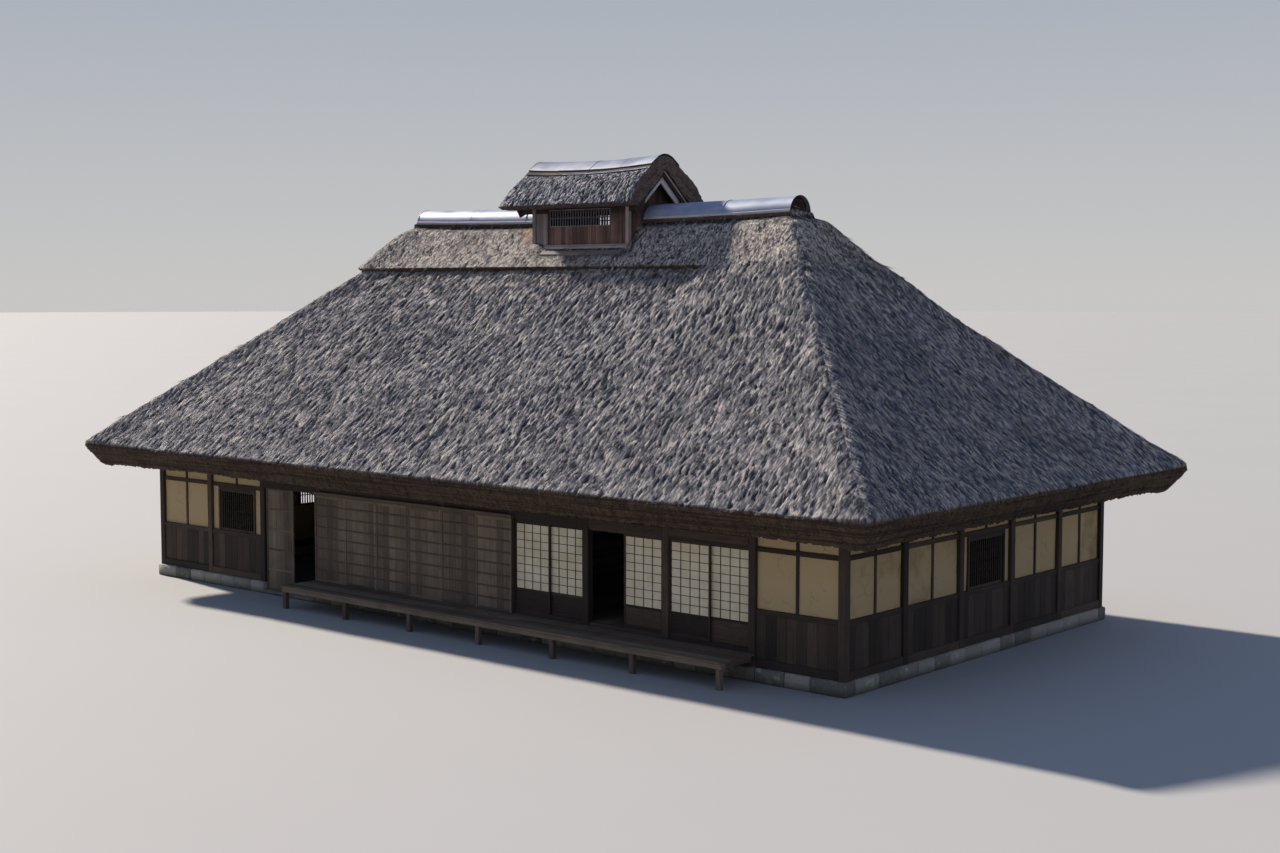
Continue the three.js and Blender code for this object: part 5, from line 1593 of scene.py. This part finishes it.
def screens():
    """Sliding screens: a wooden panel below, and above it paper behind a grid of thin bars."""
    front = Wall(0)
    wood = Stock(63)
    sheets = Stock(wood.draw)
    z0, z1 = FLOOR_TOP - 0.005, LINTEL_Z - 0.055
    for k in (6, 7, 8):
        x0, x1 = bay_line(k) + POST / 2 + 0.0005, bay_line(k + 1) - POST / 2 - 0.0005
        middle = (x0 + x1) / 2
        front.board(wood, (x0, 0.030, SILL_Z + 0.0005), (x1, 0.125, FLOOR_TOP), 0, 0.004)
        front.board(wood, (x0, 0.030, LINTEL_Z - 0.060), (x1, 0.125, LINTEL_Z), 0, 0.004)
        slid = (middle - 0.04, x1 - 0.006) if k == 7 else (x0, middle + 0.03)  # one leaf stands open
        for (u0, u1), near in ((slid, 0.040), ((middle - 0.03, x1), 0.085)):
            far = near + 0.030
            for u in (u0, u1 - 0.036):
                front.board(wood, (u, near, z0), (u + 0.036, far, z1), 2, 0.003)
            rail, head = SCREEN_RAIL[1], z1 - 0.045
            for za, zb in ((z0, z0 + 0.07), SCREEN_RAIL, (head, z1)):
                front.board(wood, (u0 + 0.036, near + 0.001, za), (u1 - 0.036, far - 0.001, zb), 0, 0.003)
            front.board(wood, (u0 + 0.030, near + 0.010, z0 + 0.065),
                        (u1 - 0.030, near + 0.018, SCREEN_RAIL[0] + 0.005), 0, 0.001)
            for i in range(1, 4):
                u = u0 + 0.036 + (u1 - u0 - 0.072) * i / 4
                front.board(wood, (u - 0.004, near + 0.004, rail), (u + 0.004, near + 0.016, head),
                            2, 0.001, 0, 9)
            for i in range(1, 8):
                z = rail + (head - rail) * i / 8
                front.board(wood, (u0 + 0.036, near + 0.005, z - 0.004),
                            (u1 - 0.036, near + 0.017, z + 0.004), 0, 0.001, 0, 9)
            front.board(sheets, (u0 + 0.030, near + 0.0175, rail - 0.015),
                        (u1 - 0.030, near + 0.0195, z1 - 0.04), 0, 0.0005)
    wear(wood.piece("screen_frames", "dark_timber"), "screen_paper", "screen_bay_7", "screen_bay_8",
         "screen_bay_9")
    wear(sheets.piece("screen_paper_sheets", "paper"), "screen_paper")


def floor_and_veranda():
    """Floor planks on joists and short struts, and the veranda's long boards on a beam and legs."""
    draw = np.random.default_rng(65)
    low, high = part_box("raised_floor")
    stock = Stock(draw)
    under = FLOOR_TOP - 0.035
    edges = np.linspace(low.x, high.x, 50)
    for a, b in zip(edges, edges[1:]):
        top = FLOOR_TOP - draw.uniform(0, 0.002)
        board(stock, (a + 0.001, low.y, under), (b - 0.001, high.y, top), 1, 0.003, 0.0, 3.0)
    joist_z = FOOTING_TOP + 0.001
    for i in range(8):
        x = low.x + 0.06 + (high.x - low.x - 0.12) * i / 7
        board(stock, (x - 0.058, low.y, joist_z), (x + 0.058, high.y, under), 1, 0.01, 0.0, 3.0)
        if x + 0.06 < WALL_X - 0.25:
            for y in (-1.45, 1.45):
                board(stock, (x - 0.058, y - 0.07, 0.0), (x + 0.058, y + 0.07, joist_z), 2, 0.01)
    wear(stock.piece("floor_planks_and_joists", "plank"), "plank", "raised_floor")

    low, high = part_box("veranda")
    stock = Stock(draw)
    rows = np.linspace(low.y + 0.002, high.y, 7)
    for y0, y1 in zip(rows, rows[1:]):
        joints = np.concatenate([[low.x], np.sort(draw.uniform(low.x + 2, high.x - 2, 2)), [high.x]])
        for a, b in zip(joints, joints[1:]):
            top = DECK_TOP - draw.uniform(0, 0.003)
            board(stock, (a + 0.001, y0 + 0.002, DECK_TOP - 0.034), (b - 0.001, y1 - 0.002, top),
                  0, 0.004, 0.001)
    under = DECK_TOP - 0.035
    legs = (low.y + 0.04, low.y + 0.14)
    board(stock, (low.x, legs[0], under - 0.1), (high.x, legs[1], under), 0, 0.008, 0.001)
    for k in range(3, 10):
        x = bay_line(k)
        board(stock, (x - 0.05, legs[0] + 0.002, 0.0), (x + 0.05, legs[1] - 0.002, under - 0.1),
              2, 0.010, 0.001)
        board(stock, (x - 0.045, legs[1], under - 0.1), (x + 0.045, -WALL_Y - 0.051, under), 1, 0.006)
    wear(stock.piece("veranda_boards_and_legs", "plank"), "plank", "veranda")


def trusses():
    """Each a tie log on the plates and two principal logs that meet at the ridge."""
    draw = np.random.default_rng(67)
    tie_top = PLATE_TOP + 0.22
    top = rafter_z(0.0) - 0.002
    outline = [(0.0, top - 0.242), ((top - 0.242 - PLATE_TOP - 0.22) / RAFTER_SLOPE, tie_top),
               ((top - PLATE_TOP - 0.22) / RAFTER_SLOPE, tie_top), (0.0, top)]
    for i in range(1, 5):
        low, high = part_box(f"roof_truss_{i}")
        stock = Stock(draw)
        board(stock, (low.x, low.y, PLATE_TOP), (high.x, high.y, tie_top), 1, 0.03, 0.004)
        for side in (-1, 1):
            prism(stock, on_side(outline, side), 0, low.x + 0.01, high.x - 0.01, (0, side, -RAFTER_SLOPE))
        wear(stock.piece(f"truss_{i}_logs", "dark_timber"), "dark_timber", f"roof_truss_{i}")


def rafters():
    """Rafter logs and bamboo battens that carry the thatch over the eaves."""
    draw = np.random.default_rng(69)
    stock = Stock(draw)
    first, reach = 4.38, 5.36  # how far out the logs begin, behind the wall plate, and end
    apart = 0.45
    lift = 0.052
    for quarter in range(4):
        on_end = quarter in (1, 3)
        half = 0.0 if on_end else HIP_X
        count = int((half + reach - 0.2) / apart)
        for i in range(-count, count + 1):
            u = i * apart
            start = max(first, abs(u) - half + 0.12)
            if start < reach - 0.15:
                outs = np.linspace(start, reach, 3)
                points = np.stack([np.full(3, u), -outs, rafter_z(outs) + lift], axis=1)
                points[:, 1] -= HIP_X if on_end else 0.0
                pole(stock, turned(points, quarter), 0.040)
    outs = np.linspace(first, reach, 3)
    for sx in (-1, 1):
        for sy in (-1, 1):
            points = np.stack([sx * (HIP_X + outs), sy * outs, rafter_z(outs) + lift - 0.02], axis=1)
            pole(stock, points, 0.060)
    wear(stock.piece("eave_rafters", "dark_timber", sharp=60), "dark_timber")
    stock = Stock(draw)
    for out in (4.85, 5.10, 5.33):
        z = rafter_z(out) + lift + 0.062
        for quarter in range(4):
            half, far = (out, HIP_X + out) if quarter in (1, 3) else (HIP_X + out, out)
            points = np.stack([np.linspace(-half, half, 24), np.full(24, -far), np.full(24, z)], axis=1)
            points = turned(points, quarter)
            points[:, 2] += draw.uniform(-0.004, 0.004, 24)
            pole(stock, points, 0.016, 6)
    wear(stock.piece("eave_battens", "weathered_board", sharp=60), "dark_timber")


def caps():
    """Sheets start at the open ends and lap towards the vent, with seams as far out on both sides."""
    outer, inner = 3.585, 1.860
    left = [-CAP_END, -outer, -inner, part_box("ridge_cap_left")[1].x - 0.04]
    right = [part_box("ridge_cap_right")[0].x, inner, outer, CAP_END]
    ridge_cap("ridge_cap_left", left)
    ridge_cap("ridge_cap_right", right)
    ridge_ends()


# Stage, settings and steps


def studio_floor(colour):
    """A pale, matt disc that reaches the horizon."""
    finish = Finish("studio_floor", 0.9)
    base = [*colour, 1.0]
    cloud = streaks(finish.add, finish.place, 6.0, 2.0)
    darker = [c * 0.95 for c in base[:3]] + [1.0]
    shade = finish.add("ShaderNodeMix", {0: cloud, 6: base, 7: darker}, data_type="RGBA")
    stock = Stock()
    around = np.linspace(0, 2 * math.pi, 96, endpoint=False)
    reach = 450.0
    rim = reach * np.stack([np.cos(around), np.sin(around), 0 * around], axis=1) - (0, 0, 0.002)
    stock.add(rim, [list(range(96))], [rim[:, :2]], (0.5, 1, 0, 0))
    stock.piece("studio_floor", finish.coat(shade, cloud, 0.001))


def studio_sky(strength):
    """Light from all sides, warm white at the horizon and blue overhead."""
    world = bpy.data.worlds.new("studio_light")
    world.use_nodes = True
    tree = world.node_tree
    add = functools.partial(add_node, tree)
    height = add("ShaderNodeSeparateXYZ", {0: add("ShaderNodeTexCoord").outputs["Generated"]}).outputs["Z"]
    sky = add("ShaderNodeValToRGB", {0: height},
              stops=[(0.0, "#f6f5f3"), (0.16, "#d3dbe8"), (0.45, "#a6bce6")])
    tree.links.new(sky.outputs[0], tree.nodes["Background"].inputs["Color"])
    tree.nodes["Background"].inputs["Strength"].default_value = strength
    bpy.context.scene.world = world


def key_light(strength):
    """A low, slightly warm sun from the left, with soft shadows."""
    key = bpy.data.lights.new("key", "SUN")
    key.energy = strength
    key.angle = math.radians(3.0)
    key.color = linear("#fff2e2")[:3]
    lamp = bpy.data.objects.new("key", key)
    azimuth, height = math.radians(180.0 - 8.0), math.radians(32.0)
    flat = math.cos(height)
    toward = Vector((flat * math.cos(azimuth), flat * math.sin(azimuth), math.sin(height)))
    lamp.rotation_euler = toward.to_track_quat("Z", "Y").to_euler()
    bpy.context.scene.collection.objects.link(lamp)


def place_camera():
    """A 50 mm lens that sees the house from its front right corner, level with the middle of the roof."""
    camera = bpy.data.cameras.new("camera")
    camera.lens = 50.0
    camera.sensor_width = 36.0
    camera.clip_end = 1000.0
    viewer = bpy.data.objects.new("camera", camera)
    viewer.location = (25.5547, -28.1609, 6.6429)
    viewer.rotation_euler = (math.radians(90.0 - 4.5), 0.0, 0.713)
    scene = bpy.context.scene
    scene.collection.objects.link(viewer)
    scene.camera = viewer
    scene.view_settings.view_transform = "Standard"


def built(*makers):
    """Runs the makers of a step, with every finish ready for them, and gives what execute returns."""
    make_materials()
    for make in makers:
        make()
    return {"FINISHED"}


class FarmhouseSettings(bpy.types.PropertyGroup):
    """Colours and light strengths that a user would change."""

    floor_colour: bpy.props.FloatVectorProperty(
        name="Floor Colour", description="Colour of the studio floor", subtype="COLOR", size=3,
        default=linear("#9a9b9c")[:3], min=0.0, max=1.0)
    key_strength: bpy.props.FloatProperty(
        name="Key Light", description="Strength of the low key light from the left", default=8.5, min=0.0)
    fill_strength: bpy.props.FloatProperty(
        name="Fill Light", description="Strength of the pale light from all sides", default=0.62, min=0.0)


class FARMHOUSE_OT_stage(bpy.types.Operator):
    """Lay the pale floor, set the soft lights and place the camera"""

    bl_idname = "farmhouse.stage"
    bl_label = "Stage"

    def execute(self, context):
        values = context.scene.farmhouse
        studio_floor(values.floor_colour)
        studio_sky(values.fill_strength)
        key_light(values.key_strength)
        place_camera()
        return {"FINISHED"}


class FARMHOUSE_OT_thatch(bpy.types.Operator):
    """Thatch the four sides of the main roof"""

    bl_idname = "farmhouse.thatch"
    bl_label = "Main Thatch"

    def execute(self, context):
        return built(main_thatch)


class FARMHOUSE_OT_ridge(bpy.types.Operator):
    """Lay the sheet metal caps along the main ridge"""

    bl_idname = "farmhouse.ridge"
    bl_label = "Ridge Caps"

    def execute(self, context):
        return built(caps)


class FARMHOUSE_OT_vent(bpy.types.Operator):
    """Build the smoke vent with its thatch, boards, lattices and cap"""

    bl_idname = "farmhouse.vent"
    bl_label = "Smoke Vent"

    def execute(self, context):
        return built(vent_cap, vent_thatch, vent_timbers, vent_walls, vent_bargeboards, vent_sills,
                     vent_windows)


class FARMHOUSE_OT_tufts(bpy.types.Operator):
    """Scatter loose straw over the thatch of the main roof"""

    bl_idname = "farmhouse.tufts"
    bl_label = "Loose Straw"

    def execute(self, context):
        return built(loose_straw)


class FARMHOUSE_OT_frame(bpy.types.Operator):
    """Lay the footing stones and raise the posts, sills, plates, trusses and rafters"""

    bl_idname = "farmhouse.frame"
    bl_label = "Footing and Frame"

    def execute(self, context):
        return built(footing, frame_timbers, trusses, rafters)


class FARMHOUSE_OT_walls(bpy.types.Operator):
    """Fill the bays with clay plaster and window lattices"""

    bl_idname = "farmhouse.walls"
    bl_label = "Walls and Windows"

    def execute(self, context):
        return built(plaster_walls, windows)


class FARMHOUSE_OT_openings(bpy.types.Operator):
    """Hang the door, shutters and screens, and lay the floor and the veranda"""

    bl_idname = "farmhouse.openings"
    bl_label = "Door, Screens and Floors"

    def execute(self, context):
        return built(door_and_shutters, screens, floor_and_veranda)


class FARMHOUSE_PT_panel(bpy.types.Panel):
    """Lists the settings and the steps of the farmhouse"""

    bl_idname = "FARMHOUSE_PT_panel"
    bl_label = "Farmhouse"
    bl_space_type = "VIEW_3D"
    bl_region_type = "UI"
    bl_category = "Farmhouse"

    def draw(self, context):
        for name in FarmhouseSettings.__annotations__:
            self.layout.prop(context.scene.farmhouse, name)
        for step in STEPS:
            self.layout.operator(step.bl_idname)


STEPS = (FARMHOUSE_OT_stage, FARMHOUSE_OT_thatch, FARMHOUSE_OT_ridge, FARMHOUSE_OT_vent, FARMHOUSE_OT_tufts,
         FARMHOUSE_OT_frame, FARMHOUSE_OT_walls, FARMHOUSE_OT_openings)
CLASSES = (FarmhouseSettings, *STEPS, FARMHOUSE_PT_panel)


def register():
    """Makes the settings, the steps and the panel known to Blender."""
    for one in CLASSES:
        bpy.utils.register_class(one)
    bpy.types.Scene.farmhouse = bpy.props.PointerProperty(type=FarmhouseSettings)


def unregister():
    """Takes them away again."""
    del bpy.types.Scene.farmhouse
    for one in reversed(CLASSES):
        bpy.utils.unregister_class(one)


def main():
    """Runs every step in order."""
    register()
    bpy.ops.farmhouse.stage()
    bpy.ops.farmhouse.thatch()
    bpy.ops.farmhouse.ridge()
    bpy.ops.farmhouse.vent()
    bpy.ops.farmhouse.tufts()
    bpy.ops.farmhouse.frame()
    bpy.ops.farmhouse.walls()
    bpy.ops.farmhouse.openings()


if __name__ == "__main__":
    main()
